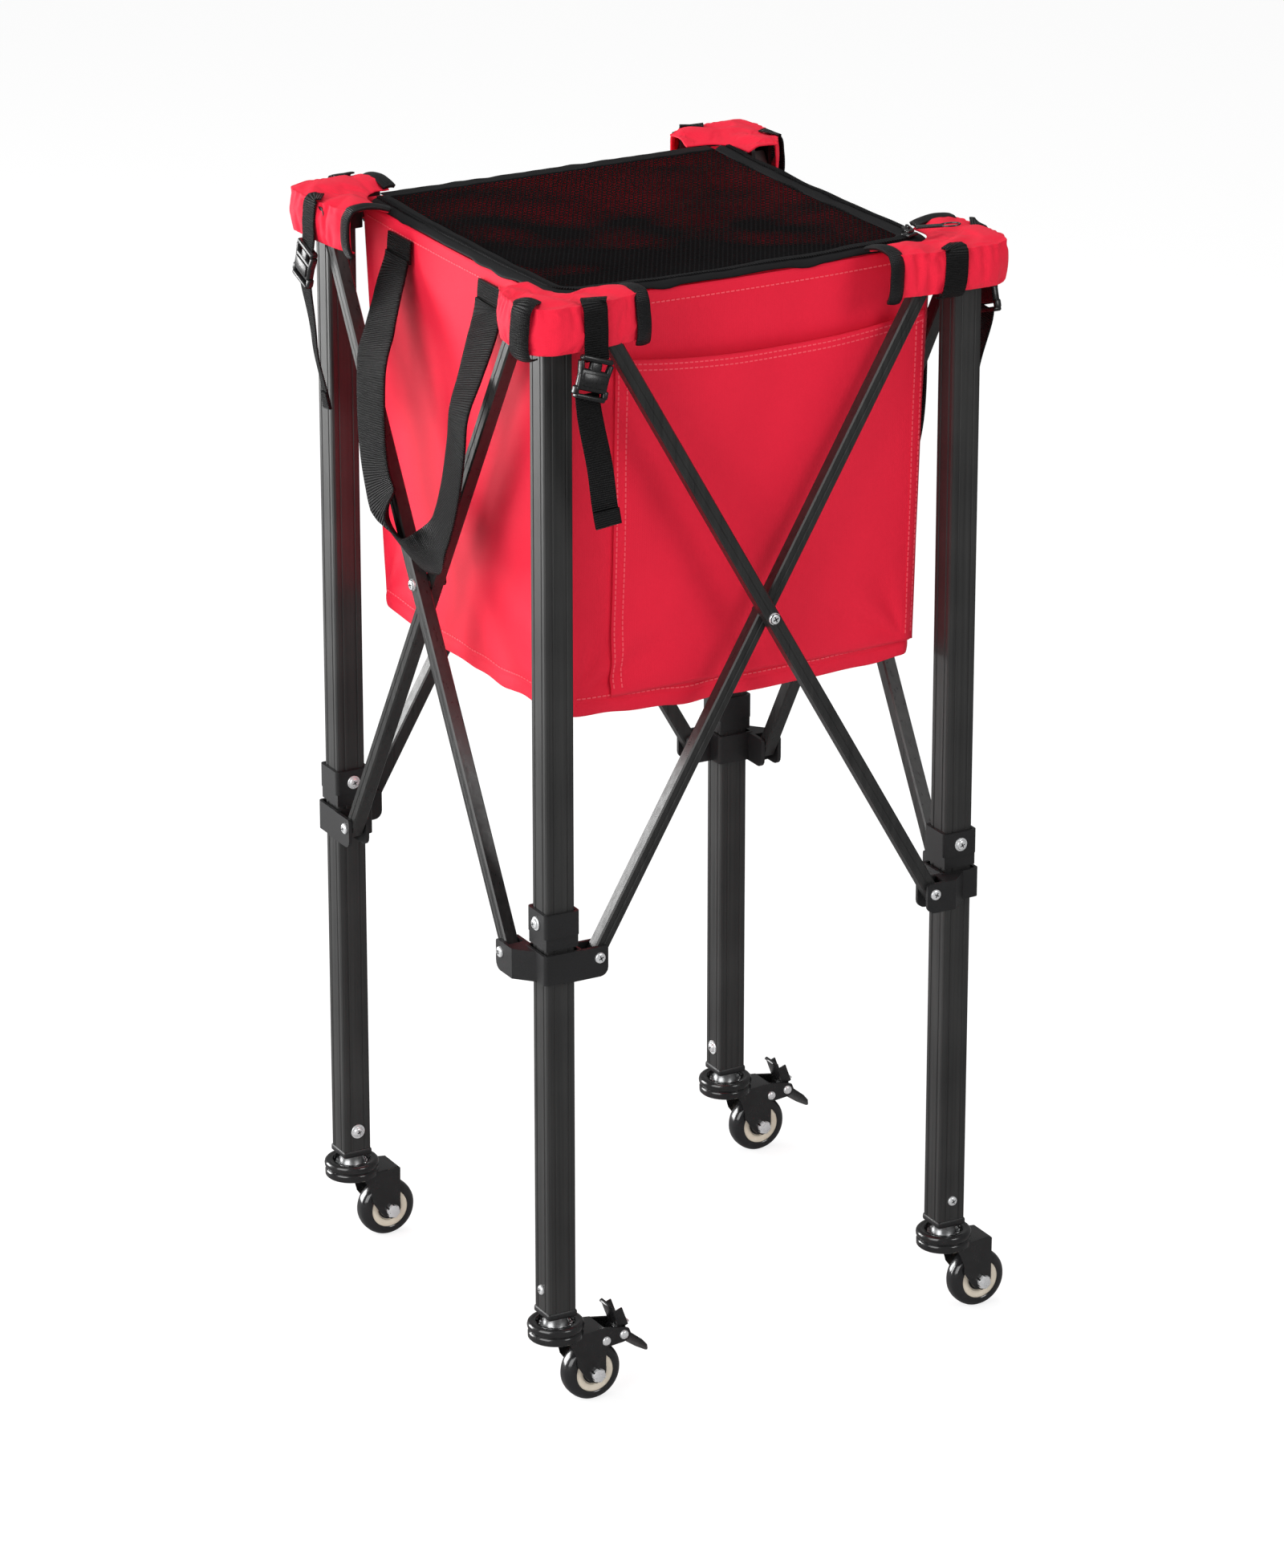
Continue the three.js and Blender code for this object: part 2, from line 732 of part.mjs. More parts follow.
function bagHalfAt(z) {
  return bagBottomHalf + (bagTopHalf - bagBottomHalf) * (z - bagBottom) / (rimHeight - bagBottom);
}

// Cloth wall on the -Y side, swelling outwards, with a dipped rim and a sagging foot
function bagWall() {
  return sheet(wallColumns, wallRows, (u, v) => {
    const span = 1 - (2 * u - 1) ** 2;
    const bottom = bagBottom - bagSag * span;
    const top = rimHeight - rimDip * span;
    const z = bottom + (top - bottom) * v;
    const half = bagHalfAt(z);
    const edge = half - clothThickness - bagCornerGap;
    const swell = clothBulge * span * Math.sin(Math.PI * v);
    return [edge * (2 * u - 1), -half - swell, z];
  }, [0, clothThickness, 0]);
}

// Pocket sewn on the front wall, closed at its sides and foot, with a dipped mouth
function pocketPouch() {
  const wallAt = (x, z) => {
    const span = 1 - (x / bagTopHalf) ** 2;
    const rise = (z - bagBottom) / (rimHeight - bagBottom);
    return bagHalfAt(z) + clothBulge * span * Math.sin(Math.PI * rise) + 2 * gap;
  };
  const width = pocketRight - pocketLeft;
  const make = (side, foot, top, near, far) => sheet(wallColumns, pocketRows, (u, v, inner) => {
    const x = pocketLeft + side + (width - 2 * side) * u;
    const dip = pocketDip * (1 - (2 * u - 1) ** 2);
    const z = pocketBottom + foot + (pocketTop + top - dip - pocketBottom - foot) * v;
    return [x, -wallAt(x, z) - (inner ? near : far), z];
  }, [0, 0, 0]);
  const outer = solid(make(0, 0, 0, 0, pocketDepth));
  const hollow = solid(make(pocketCloth, pocketCloth, 2 * overrun, -overrun, pocketDepth - pocketCloth));
  return outer.subtract(hollow);
}

function bagFloorHalf() {
  const half = bagHalfAt(bagBottom) - clothThickness - 2 * gap;
  return block(-half, half, -half, -gap, bagBottom, bagBottom + floorThickness);
}

// Net lid with a bound border and six-sided openings in staggered rows
function lid() {
  const back = lidHalf - hemDepth;
  const cut = lidCornerCut;
  const shape = polygon([
    [-lidHalf, cut - lidHalf],
    [cut - lidHalf, -lidHalf],
    [lidHalf - cut, -lidHalf],
    [lidHalf, cut - lidHalf],
    [lidHalf, back - cut / 2],
    [lidHalf - cut / 2, back],
    [cut / 2 - lidHalf, back],
    [-lidHalf, back - cut / 2],
  ]);
  const inside = lidHalf - lidBorder;
  const rowPitch = netPitch * Math.sqrt(3) / 2;
  const radius = (netPitch - netBar) / Math.sqrt(3);
  const rows = Math.floor((back + inside - lidBorder - 2 * radius) / rowPitch) + 1;
  const midY = (back - lidBorder - inside) / 2;
  const openings = [];
  for (let j = 0; j < rows; j += 1) {
    const y = midY + (j - (rows - 1) / 2) * rowPitch;
    const shift = j % 2 ? netPitch / 2 : 0;
    for (let x = shift - inside + netPitch / 2; x <= inside - netPitch / 2; x += netPitch) {
      if (Math.abs(x) + Math.abs(y) + Math.SQRT2 * (radius + lidBorder) < 2 * lidHalf - cut) {
        openings.push(upright(hexagon(x, y, radius), lidBase - overrun, lidBase + lidThickness + overrun));
      }
    }
  }
  const panel = upright(shape, lidBase, lidBase + lidThickness);
  return openings.reduce((left, opening) => left.subtract(opening), panel);
}

function hexagon(x, y, radius) {
  const points = [];
  for (let i = 0; i < 6; i += 1) {
    const turn = -(i + 0.5) * Math.PI / 3;
    points.push([x + radius * Math.cos(turn), y + radius * Math.sin(turn)]);
  }
  return polygon(points);
}

const lidBase = rimHeight + gap;

// Binding behind the net, turned down and sewn inside the back wall
function lidHem() {
  const front = lidHalf - hemDepth + gap;
  const side = lidHalf - lidCornerCut / 2;
  const back = bagHalfAt(lidBase - hemLip) - clothThickness - gap;
  const flat = block(-side, side, front, back, lidBase, lidBase + lidThickness);
  const lip = block(-side, side, back - lidThickness, back, lidBase - hemLip, lidBase + lidThickness);
  return flat.add(lip);
}

// L-shaped hood over a leg top, open below and towards the bag, with its webbing band
function cap() {
  const plan = (outer, inner, reach, round) => {
    const shape = new THREE.Shape();
    shape.moveTo(round - outer, -outer);
    shape.lineTo(reach, -outer);
    shape.lineTo(reach, inner);
    shape.lineTo(inner, inner);
    shape.lineTo(inner, reach);
    shape.lineTo(-outer, reach);
    shape.lineTo(-outer, round - outer);
    shape.absarc(round - outer, round - outer, round, 2 * quarter, 3 * quarter, false);
    return shape;
  };
  const hood = new THREE.ExtrudeGeometry(plan(capOuter - capEdge, capInner - capEdge, capReach - capEdge,
    capRound - capEdge), {
    depth: capTop - capBottom,
    bevelEnabled: true,
    bevelThickness: capEdge,
    bevelSize: capEdge,
    bevelSegments: 3,
    curveSegments: 2 * arcSteps,
  });
  hood.translate(0, 0, capBottom - capEdge);
  const below = block(-2 * capReach, 2 * capReach, -2 * capReach, 2 * capReach,
    capBottom - 3 * capEdge, capBottom);
  const inside = upright(plan(capOuter - capCloth, capInner + overrun, capReach - capCloth,
    capRound - capCloth), capBottom - overrun, capTop - capCloth);
  const half = bandWidth / 2;
  const side = block(-capOuter - bandCloth, capCloth - capOuter - bandCloth,
    bandPlace - half, bandPlace + half, capBottom, capTop - capEdge);
  return solid(hood).subtract(below).subtract(inside).add(side);
}

// Flat webbing of even width that follows points, each with its own width direction
function ribbon(stations, width, cloth) {
  const positions = [];
  const index = [];
  const count = stations.length;
  for (let i = 0; i < count; i += 1) {
    const { at, across } = stations[i];
    const before = stations[Math.max(i - 1, 0)].at;
    const after = stations[Math.min(i + 1, count - 1)].at;
    const along = after.clone().sub(before).normalize();
    const wide = across.clone().addScaledVector(along, -across.dot(along)).normalize();
    const thick = along.clone().cross(wide).normalize();
    for (const [w, t] of [[-1, -1], [1, -1], [1, 1], [-1, 1]]) {
      const p = at.clone().addScaledVector(wide, w * width / 2).addScaledVector(thick, t * cloth / 2);
      positions.push(p.x, p.y, p.z);
    }
  }
  for (let i = 0; i + 1 < count; i += 1) {
    for (let k = 0; k < 4; k += 1) {
      const a = 4 * i + k;
      const b = 4 * i + (k + 1) % 4;
      index.push(a, b, b + 4, a, b + 4, a + 4);
    }
  }
  const last = 4 * (count - 1);
  index.push(0, 2, 1, 0, 3, 2);
  index.push(last, last + 1, last + 2, last, last + 2, last + 3);
  const geometry = new THREE.BufferGeometry();
  geometry.setAttribute("position", new THREE.BufferAttribute(new Float32Array(positions), 3));
  geometry.setIndex(index);
  return geometry;
}

// Strap down the cap's front face, its side release buckle and the loose tail below
function strap() {
  const face = -(capOuter + gap + strapCloth / 2);
  const across = new THREE.Vector3(1, 0, 0);
  const stations = [];
  const add = (x, y, z) => stations.push({ at: new THREE.Vector3(x, y, z), across });
  add(strapPlace, face, strapTop);
  add(strapPlace, face, buckleTop - buckleThickness / 2);
  const upper = solid(ribbon(stations, strapWidth, strapCloth));
  stations.length = 0;
  for (let i = 0; i <= tailSteps; i += 1) {
    const down = i / tailSteps;
    const z = buckleBottom + buckleThickness / 2 + (tailBottom - buckleBottom) * down;
    add(strapPlace + tailDrift * down * down, face - tailSwing * Math.sin(Math.PI * down), z);
  }
  const tail = solid(ribbon(stations, strapWidth, strapCloth));
  const outline = roundedRectangle(buckleWidth / 2, (buckleTop - buckleBottom) / 2, buckleRound);
  const shell = new THREE.ExtrudeGeometry(outline, {
    depth: buckleThickness,
    bevelEnabled: false,
    curveSegments: arcSteps,
  });
  shell.rotateX(quarter);
  shell.translate(strapPlace, face + buckleThickness / 2, (buckleTop + buckleBottom) / 2);
  const waist = buckleWidth / 6;
  const middle = (buckleTop + buckleBottom) / 2;
  let buckle = solid(shell);
  for (const end of [-1, 1]) {
    const x = strapPlace + end * buckleWidth / 2;
    buckle = buckle.subtract(block(x - waist / 2, x + waist / 2,
      face - buckleThickness, face + buckleThickness, middle - waist, middle + waist));
  }
  return buckle.add(upper).add(tail);
}

// Loop of wide webbing on the -Y side that leans along as it hangs: from its two roots out over
// the bars, down and across
function handle() {
  const wall = -bagTopHalf - clothBulge / 3 - handleCloth / 2;
  const out = -handleOut;
  const [upper, middle, lower] = handleNarrowShares;
  const half = [
    [1, handleRootDrift, wall, handleRootTop],
    [1, handleRootDrift, wall - handleCloth, handleRootBottom],
    [1, (handleRootDrift + handleDrift) / 2, out + handleCloth, handleTurnHeight],
    [upper, handleDrift, out, handleTurnHeight - handleWidth / 2],
    [middle, handleDrift, out, (handleTurnHeight + handleBottom) / 2],
    [lower, handleDrift, out, handleBottom + handleWidth / 2],
  ];
  const place = (side) => ([share, drift, y, z]) => (
    new THREE.Vector3(side * share * handleSpread + drift, y, z));
  const route = new THREE.CatmullRomCurve3([
    ...half.map(place(-1)),
    new THREE.Vector3(handleDrift, out, handleBottom),
    ...half.reverse().map(place(1)),
  ], false, "catmullrom");
  const stations = route.getSpacedPoints(handleSteps).map((at, i) => {
    const turn = Math.PI * THREE.MathUtils.smoothstep(i / handleSteps, ...handleTwistShares);
    return { at, across: new THREE.Vector3(Math.cos(turn), 0, Math.sin(turn)) };
  });
  return ribbon(stations, handleWidth, handleCloth);
}

const cart = new THREE.Group();
const corners = ["fl", "fr", "br", "bl"];
const cornerAt = [[-1, -1], [1, -1], [1, 1], [-1, 1]];
const sides = ["front", "right", "back", "left"];
const brakedCorners = ["fl", "br"];

// Legs, brackets, sliders, collars, caps and straps repeat at each quarter turn
corners.forEach((corner, k) => {
  const place = new THREE.Group();
  place.position.set(cornerAt[k][0] * legHalf, cornerAt[k][1] * legHalf, 0);
  place.rotation.z = k * quarter;
  place.add(piece(`leg_tube_${corner}`, legTube(), tubePaint));
  place.add(piece(`top_bracket_${corner}`, topBracket(), nylon));
  place.add(piece(`stop_collar_${corner}`, collar(), nylon));
  place.add(piece(`slider_${corner}`, slider(), nylon));
  place.add(piece(`corner_cap_${corner}`, cap(), redCloth));
  place.add(piece(`cap_strap_${corner}`, strap(), blackWebbing));
  cart.add(place);
});

// The casters all trail the same way
corners.forEach((corner, k) => {
  const place = new THREE.Group();
  place.position.set(cornerAt[k][0] * legHalf, cornerAt[k][1] * legHalf, 0);
  const braked = brakedCorners.includes(corner);
  place.add(piece(`foot_plug_${corner}`, foot(), zinc));
  place.add(piece(`caster_fork_${corner}`, fork(braked), blackSteel));
  const roller = piece(`wheel_${corner}`, wheel(), treadRubber);
  roller.position.set(trail, 0, wheelRadius);
  place.add(roller);
  if (braked) {
    place.add(piece(`brake_pedal_${corner}`, pedal(), blackSteel));
  }
  cart.add(place);
});

// Crossed bars, cloth walls and handles by side
sides.forEach((side, k) => {
  const place = new THREE.Group();
  place.rotation.z = k * quarter;
  const outer = piece(`bar_outer_${side}`, bar(true), tubePaint);
  outer.position.set(0, -legHalf - outerPlane, crossHeight);
  outer.rotation.y = barTilt;
  place.add(outer);
  const inner = piece(`bar_inner_${side}`, bar(false), tubePaint);
  inner.position.set(0, -legHalf - innerPlane, crossHeight);
  inner.rotation.y = -barTilt;
  place.add(inner);
  place.add(piece(`bag_wall_${side}`, bagWall(), redCloth));
  if (side === "left" || side === "right") {
    place.add(piece(`handle_${side}`, handle(), blackWebbing));
  }
  cart.add(place);
});

cart.add(piece("front_pocket", pocketPouch(), redCloth));
cart.add(piece("bag_floor_front", bagFloorHalf(), redCloth));
const floorBack = piece("bag_floor_back", bagFloorHalf(), redCloth);
floorBack.rotation.z = 2 * quarter;
cart.add(floorBack);
cart.add(piece("lid", lid(), netCloth));
cart.add(piece("lid_hem", lidHem(), blackWebbing));

export default cart;
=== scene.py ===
import math

import bmesh
import bpy
from mathutils import Matrix, Vector, noise


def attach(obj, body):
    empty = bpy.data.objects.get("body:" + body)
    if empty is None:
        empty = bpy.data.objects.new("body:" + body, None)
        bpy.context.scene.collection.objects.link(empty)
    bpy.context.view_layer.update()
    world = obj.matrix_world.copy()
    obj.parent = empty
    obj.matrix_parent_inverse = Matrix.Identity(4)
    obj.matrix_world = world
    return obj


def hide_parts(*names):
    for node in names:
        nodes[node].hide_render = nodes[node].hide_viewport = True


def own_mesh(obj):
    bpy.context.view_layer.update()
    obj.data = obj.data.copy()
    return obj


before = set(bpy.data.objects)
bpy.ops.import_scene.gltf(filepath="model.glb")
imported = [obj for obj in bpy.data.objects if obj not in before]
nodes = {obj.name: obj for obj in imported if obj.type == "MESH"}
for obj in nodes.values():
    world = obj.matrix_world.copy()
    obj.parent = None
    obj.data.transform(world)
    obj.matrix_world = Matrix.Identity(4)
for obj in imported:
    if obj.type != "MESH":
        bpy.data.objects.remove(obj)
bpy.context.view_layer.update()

# The camera stands in front and to the left, looks down on the cart, and is level.
# It has a long lens, so the upright legs stay almost parallel.
eye = bpy.data.cameras.new("camera")
eye.sensor_fit = "HORIZONTAL"
eye.sensor_width = 36
eye.lens = 181.907
eye.clip_end = 60
camera = bpy.data.objects.new("camera", eye)
bpy.context.scene.collection.objects.link(camera)
camera.location = (-2.4057, -4.3324, 2.3134)
camera.rotation_euler = (math.radians(69.2945), 0, math.radians(-29.0228))
bpy.context.scene.camera = camera


# The four legs are square aluminium tube, 25 mm across, drawn with two fine grooves down each
# face and anodised dark grey. Fine draw lines run up and down, with a little dust and handling
# wear, which come from a grain that is stretched along the tube.
corners = ["fl", "fr", "br", "bl"]


def new_group(name, inputs, outputs):
    """A node group whose inputs are numbers, given with their defaults."""
    group = bpy.data.node_groups.new(name, "ShaderNodeTree")
    for label, value in inputs.items():
        socket = group.interface.new_socket(label, in_out="INPUT", socket_type="NodeSocketFloat")
        socket.default_value = value
    for label in outputs:
        group.interface.new_socket(label, in_out="OUTPUT", socket_type="NodeSocketFloat")
    return group, group.nodes.new("NodeGroupInput"), group.nodes.new("NodeGroupOutput")


def feed(tree, socket, value):
    """Sets a socket to a plain value, or links it to the output of another node."""
    if isinstance(value, bpy.types.NodeSocket):
        tree.links.new(value, socket)
    else:
        socket.default_value = value


def fill(tree, node, **settings):
    """Feeds a node's inputs by name, and sets its properties."""
    for key, value in settings.items():
        label = key.replace("_", " ")
        if label in node.inputs.keys():
            feed(tree, node.inputs[label], value)
        else:
            setattr(node, key, value)
    return node


def node_of(tree, kind, **settings):
    return fill(tree, tree.nodes.new("ShaderNode" + kind), **settings)


def math_node(tree, operation, a, b=0.0, kind="Math"):
    node = node_of(tree, kind, operation=operation)
    for socket, value in zip(node.inputs, (a, b)):
        feed(tree, socket, value)
    return node.outputs[0]


def weighed(tree, a, share_a, b, share_b):
    """The sum of two values, each times its share."""
    return math_node(tree, "ADD", math_node(tree, "MULTIPLY", a, share_a),
                     math_node(tree, "MULTIPLY", b, share_b))


def two_tone(tree, value, low, high, color, far_color):
    """A colour that goes from one tone to the other as a value goes from low to high."""
    spread = node_of(tree, "MapRange", Value=value, From_Min=low, From_Max=high)
    tint = node_of(tree, "Mix", data_type="RGBA", A=(*color, 1), B=(*far_color, 1), Factor=spread.outputs[0])
    return tint.outputs["Result"]


def bumped(tree, height, strength, distance):
    return node_of(tree, "Bump", Strength=strength, Distance=distance, Height=height).outputs[0]


def new_material(name):
    made = bpy.data.materials.new(name)
    made.use_nodes = True
    return made, made.node_tree, made.node_tree.nodes["Principled BSDF"]


# The grain is even noise of a given size in three directions, for drawn metal and moulded skins.
# A wider blotch beside it stands for dust and handling.
grain, grain_in, grain_out = new_group(
    "grain", {"Along X": 300.0, "Along Y": 300.0, "Along Z": 300.0, "Detail": 3.0}, ("Value", "Blotch"))
grain_place = node_of(grain, "TexCoord").outputs["Object"]
grain_size = node_of(grain, "CombineXYZ", X=grain_in.outputs["Along X"], Y=grain_in.outputs["Along Y"],
                     Z=grain_in.outputs["Along Z"])
grain_scaled = math_node(grain, "MULTIPLY", grain_place, grain_size.outputs[0], "VectorMath")
grain_noise = node_of(grain, "TexNoise", Scale=1.0, Vector=grain_scaled, Detail=grain_in.outputs["Detail"])
grain_blotch = node_of(grain, "TexNoise", Scale=16.0, Detail=2.0, Vector=grain_place)
fill(grain, grain_out, Value=grain_noise.outputs["Fac"], Blotch=grain_blotch.outputs["Fac"])


def finish_material(name, color, far_color, rough, far_rough, sizes, bump, metallic=0.0, detail=3.0,
                    coat=0.0, blotch=0.5, specular=0.5):
    """A hard or yarn surface whose colour, roughness and height follow the grain."""
    made, tree, shader = new_material(name)
    skin = node_of(tree, "Group", node_tree=grain, Along_X=sizes[0], Along_Y=sizes[1], Along_Z=sizes[2],
                   Detail=detail)
    value = skin.outputs["Value"]
    wear = weighed(tree, value, 1 - blotch, skin.outputs["Blotch"], blotch)
    gloss = node_of(tree, "MapRange", Value=value, From_Min=0.3, From_Max=0.7, To_Min=rough, To_Max=far_rough)
    fill(tree, shader, Base_Color=two_tone(tree, wear, 0.32, 0.68, color, far_color),
         Roughness=gloss.outputs[0], Normal=bumped(tree, value, bump, 0.0004),
         Metallic=metallic, Coat_Weight=coat, Specular_IOR_Level=specular)
    return made


def dress(material, *names):
    """Gives the material to nodes of the frame."""
    for name in names:
        nodes[name].data.materials.clear()
        nodes[name].data.materials.append(material)


leg_metal = finish_material("dark_anodised_leg", (0.044, 0.044, 0.044), (0.070, 0.070, 0.069), 0.36, 0.48,
                            (420, 420, 5), 0.10, metallic=0.6)
dress(leg_metal, *(f"leg_tube_{corner}" for corner in corners))


# Moulded nylon: the brackets on the leg tops, the sliders that climb the legs and the stop collars
# that are screwed to the legs over them. Dark grey, with a fine eroded grain from the mould.
nylon = finish_material("moulded_nylon", (0.009, 0.009, 0.0095), (0.017, 0.017, 0.018), 0.36, 0.50,
                        (1100, 1100, 1100), 0.22, detail=4.0, blotch=0.35)
for moulding in ("top_bracket", "slider", "stop_collar"):
    dress(nylon, *(f"{moulding}_{corner}" for corner in corners))


# Pan head screws with a cross recess, zinc plated. One holds each stop collar, one each foot plug,
# and the pivot screws of the bars show their heads on the sliders and where two bars cross.
# The recess is not cut into the head: a thin dark cross is laid on it, painted shade.
zinc = finish_material("bright_zinc", (0.80, 0.81, 0.82), (0.92, 0.93, 0.94), 0.20, 0.38,
                       (240, 240, 240), 0.12, metallic=0.55)
# Near-black metal for the cross recess: painted shade for a hollow that is not cut.
painted_recess_shade = finish_material("screw_recess_painted_shade", (0.05, 0.05, 0.055), (0.09, 0.09, 0.09), 0.5, 0.7,
                              (400, 400, 400), 0.1, metallic=0.7)
leg_half = 0.182
corner_at = {"fl": (-leg_half, -leg_half), "fr": (leg_half, -leg_half),
             "br": (leg_half, leg_half), "bl": (-leg_half, leg_half)}
collar_face = 0.0156
collar_screw_z = 0.4203
tube_face = 0.0125
foot_screw_z = 0.1045
slider_screw_z = 0.388
screw_steps = 28


def moved(x, y, z=0.0):
    return Matrix.Translation((x, y, z))


def turned(degrees, axis="Z"):
    return Matrix.Rotation(math.radians(degrees), 4, axis)


def object_from(bm, name, *materials, smooth=True, angle=35):
    """Makes the finished piece; edges sharper than the angle stay sharp."""
    mesh = bpy.data.meshes.new(name)
    bm.to_mesh(mesh)
    bm.free()
    for material in materials:
        mesh.materials.append(material)
    made = bpy.data.objects.new(name, mesh)
    bpy.context.scene.collection.objects.link(made)
    if smooth:
        mesh.shade_smooth()
        mesh.set_sharp_from_angle(angle=math.radians(angle))
    return made


def fasten(piece, body, replaced=None):
    """Hangs the piece on the body that it rides on, and hides the plain node that it stands for, if any."""
    if replaced:
        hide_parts(replaced)
    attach(piece, body)


def lathe(bm, profile, steps, matrix, material_index=0):
    """Turns an open outline of (radius, height) about Z into a solid, closed at both poles."""
    known = set(bm.verts)
    known_faces = set(bm.faces)
    rim = [bm.verts.new((r, 0, z)) for r, z in profile]
    edges = [bm.edges.new(pair) for pair in zip(rim, rim[1:])]
    bmesh.ops.spin(bm, geom=rim + edges, cent=(0, 0, 0), axis=(0, 0, 1), angle=2 * math.pi,
                   steps=steps, use_merge=True, use_duplicate=False)
    bmesh.ops.remove_doubles(bm, verts=[v for v in bm.verts if v not in known], dist=1e-6)
    faces = [f for f in bm.faces if f not in known_faces]
    bmesh.ops.recalc_face_normals(bm, faces=faces)
    for face in faces:
        face.material_index = material_index
    bmesh.ops.transform(bm, matrix=matrix, verts=[v for v in bm.verts if v not in known])


def round_edges(bm, verts, offset, segments=2):
    """Rounds every edge of a solid, given by its points, and gives back its new points."""
    edges = list({e for v in verts for e in v.link_edges})
    rounded = bmesh.ops.bevel(bm, geom=edges, offset=offset, offset_type="OFFSET", segments=segments,
                              profile=0.5, affect="EDGES", material=-1)
    return list({v for f in rounded["faces"] for v in f.verts} | {v for v in verts if v.is_valid})


def box(bm, size, matrix, bevel=0.0, segments=2, material_index=0):
    """A block of a given size, with rounded edges where a bevel is given, put in place by a matrix."""
    made = bmesh.ops.create_cube(bm, size=1)["verts"]
    bmesh.ops.scale(bm, vec=size, verts=made)
    for face in {f for v in made for f in v.link_faces}:
        face.material_index = material_index
    if bevel:
        made = round_edges(bm, made, bevel, segments)
    bmesh.ops.transform(bm, matrix=matrix, verts=made)


def facing(place, direction, spin=0.0):
    """A matrix that stands a piece drawn along +Z at a place, pointing along a direction."""
    turn = Vector(direction).normalized().to_track_quat("Z", "Y").to_matrix().to_4x4()
    return Matrix.Translation(place) @ turn @ Matrix.Rotation(spin, 4, "Z")


def screw(bm, place, direction, radius, height, washer=0.0, spin=0.4):
    """A domed head with a cross recess drawn as a thin dark cross of painted shade, on a washer if its radius
    is given.
    """
    at = facing(place, direction, spin)
    base = 0.0
    if washer:
        flat_ring = [(0, 0), (washer, 0), (washer, 0.0007), (washer - 0.0003, 0.001), (0, 0.001)]
        lathe(bm, flat_ring, screw_steps, at)
        base = 0.0009
    dome = [(0, base), (radius, base), (radius, base + height * 0.35)]
    for step in range(1, 6):
        turn = step / 6 * math.pi / 2
        dome.append((radius * (0.25 + 0.75 * math.cos(turn)), base + height * (0.35 + 0.65 * math.sin(turn))))
    dome += [(radius * 0.2, base + height), (0, base + height)]
    lathe(bm, dome, screw_steps, at)
    # The dark cross on top of the dome is painted shade standing for the recess.
    for quarter in (0, 90):
        box(bm, (radius * 0.95, radius * 0.2, 0.0004),
            at @ turned(quarter) @ moved(0, 0, base + height - 0.00008), material_index=1)


corner_place = {corner: moved(*corner_at[corner]) @ turned(90 * index) for index, corner in enumerate(corners)}
screw_faces = {"fl": (-1, 0), "fr": (0, -1), "br": (-1, 0), "bl": (0, -1)}
for corner in corners:
    x, y = corner_at[corner]
    fx, fy = screw_faces[corner]
    bm = bmesh.new()
    screw(bm, (x + fx * collar_face, y + fy * collar_face, collar_screw_z), (fx, fy, 0), 0.0042, 0.0022,
          0.0056)
    screw(bm, (x + fx * tube_face, y + fy * tube_face, foot_screw_z), (fx, fy, 0), 0.0040, 0.0024,
          0.0062 if corner in ("bl", "br") else 0.0)
    fasten(object_from(bm, f"leg_screws_{corner}", zinc, painted_recess_shade), f"leg_{corner}")
    place = corner_place[corner]
    turn = place.to_3x3()
    bm = bmesh.new()
    screw(bm, place @ Vector((0.0321, -0.0170, slider_screw_z)), turn @ Vector((0, -1, 0)), 0.0044, 0.0022)
    screw(bm, place @ Vector((-0.0305, 0.0321, slider_screw_z)), turn @ Vector((-1, 0, 0)), 0.0044, 0.0022,
          spin=1.1)
    fasten(object_from(bm, f"slider_screws_{corner}", zinc, painted_recess_shade), f"slider_{corner}")


# The crossed bars are 12 mm square tube in the same dark finish as the legs, with one groove.
# Each pair turns on a screw through the middle, whose round head shows on the outer bar.
# The bars' copy of the leg finish is a little darker: real dark finish with painted shade for their dark front
# faces.
bar_finish_with_shade = finish_material("dark_anodised_bar_with_shade", (0.036, 0.036, 0.036), (0.060, 0.060, 0.059), 0.26, 0.38,
                            (300, 300, 9), 0.08, metallic=0.6)
outer_bar_face = 0.2090
cross_z = 0.647
sides = ["front", "right", "back", "left"]
side_turn = {side: turned(90 * index) for index, side in enumerate(sides)}
for side in sides:
    dress(bar_finish_with_shade, f"bar_outer_{side}", f"bar_inner_{side}")
    turn = side_turn[side]
    bm = bmesh.new()
    screw(bm, turn @ Vector((0, -outer_bar_face, cross_z)), turn @ Vector((0, -1, 0)), 0.0049, 0.0028)
    fasten(object_from(bm, f"cross_screw_{side}", zinc, painted_recess_shade), f"bar_outer_{side}")


# Swivel casters of 50 mm. A plated king pin and its ring of balls show between the leg and the
# black fork head, whose rolled rim stands round them. The fork is pressed steel, painted black.
caster_black = finish_material("caster_black_paint", (0.007, 0.007, 0.0075), (0.014, 0.014, 0.0145),
                               0.16, 0.30, (160, 160, 160), 0.10, coat=0.5)
race_steel = finish_material("race_steel", (0.34, 0.345, 0.35), (0.48, 0.485, 0.49), 0.26, 0.42,
                             (300, 300, 300), 0.12, metallic=1.0)
fork_head = [
    (0.0146, 0.0612), (0.0216, 0.0612), (0.0225, 0.0622), (0.0226, 0.0660), (0.0222, 0.0672),
    (0.0212, 0.0680), (0.0214, 0.0688), (0.0223, 0.0694), (0.0229, 0.0706), (0.0231, 0.0722),
    (0.0227, 0.0740), (0.0216, 0.0753), (0.0200, 0.0758), (0.0182, 0.0755), (0.0166, 0.0745),
    (0.0156, 0.0728), (0.0152, 0.0708), (0.0146, 0.0700), (0.0146, 0.0612)]
king_pin = [
    (0.0060, 0.0694), (0.0142, 0.0694), (0.0144, 0.0706), (0.0132, 0.0716), (0.0120, 0.0716),
    (0.0112, 0.0728), (0.0100, 0.0762), (0.0094, 0.0780), (0.0094, 0.0812), (0.0060, 0.0812),
    (0.0060, 0.0694)]
balls = 16
ball_radius = 0.0017
ball_ring = 0.0126
ball_z = 0.0722
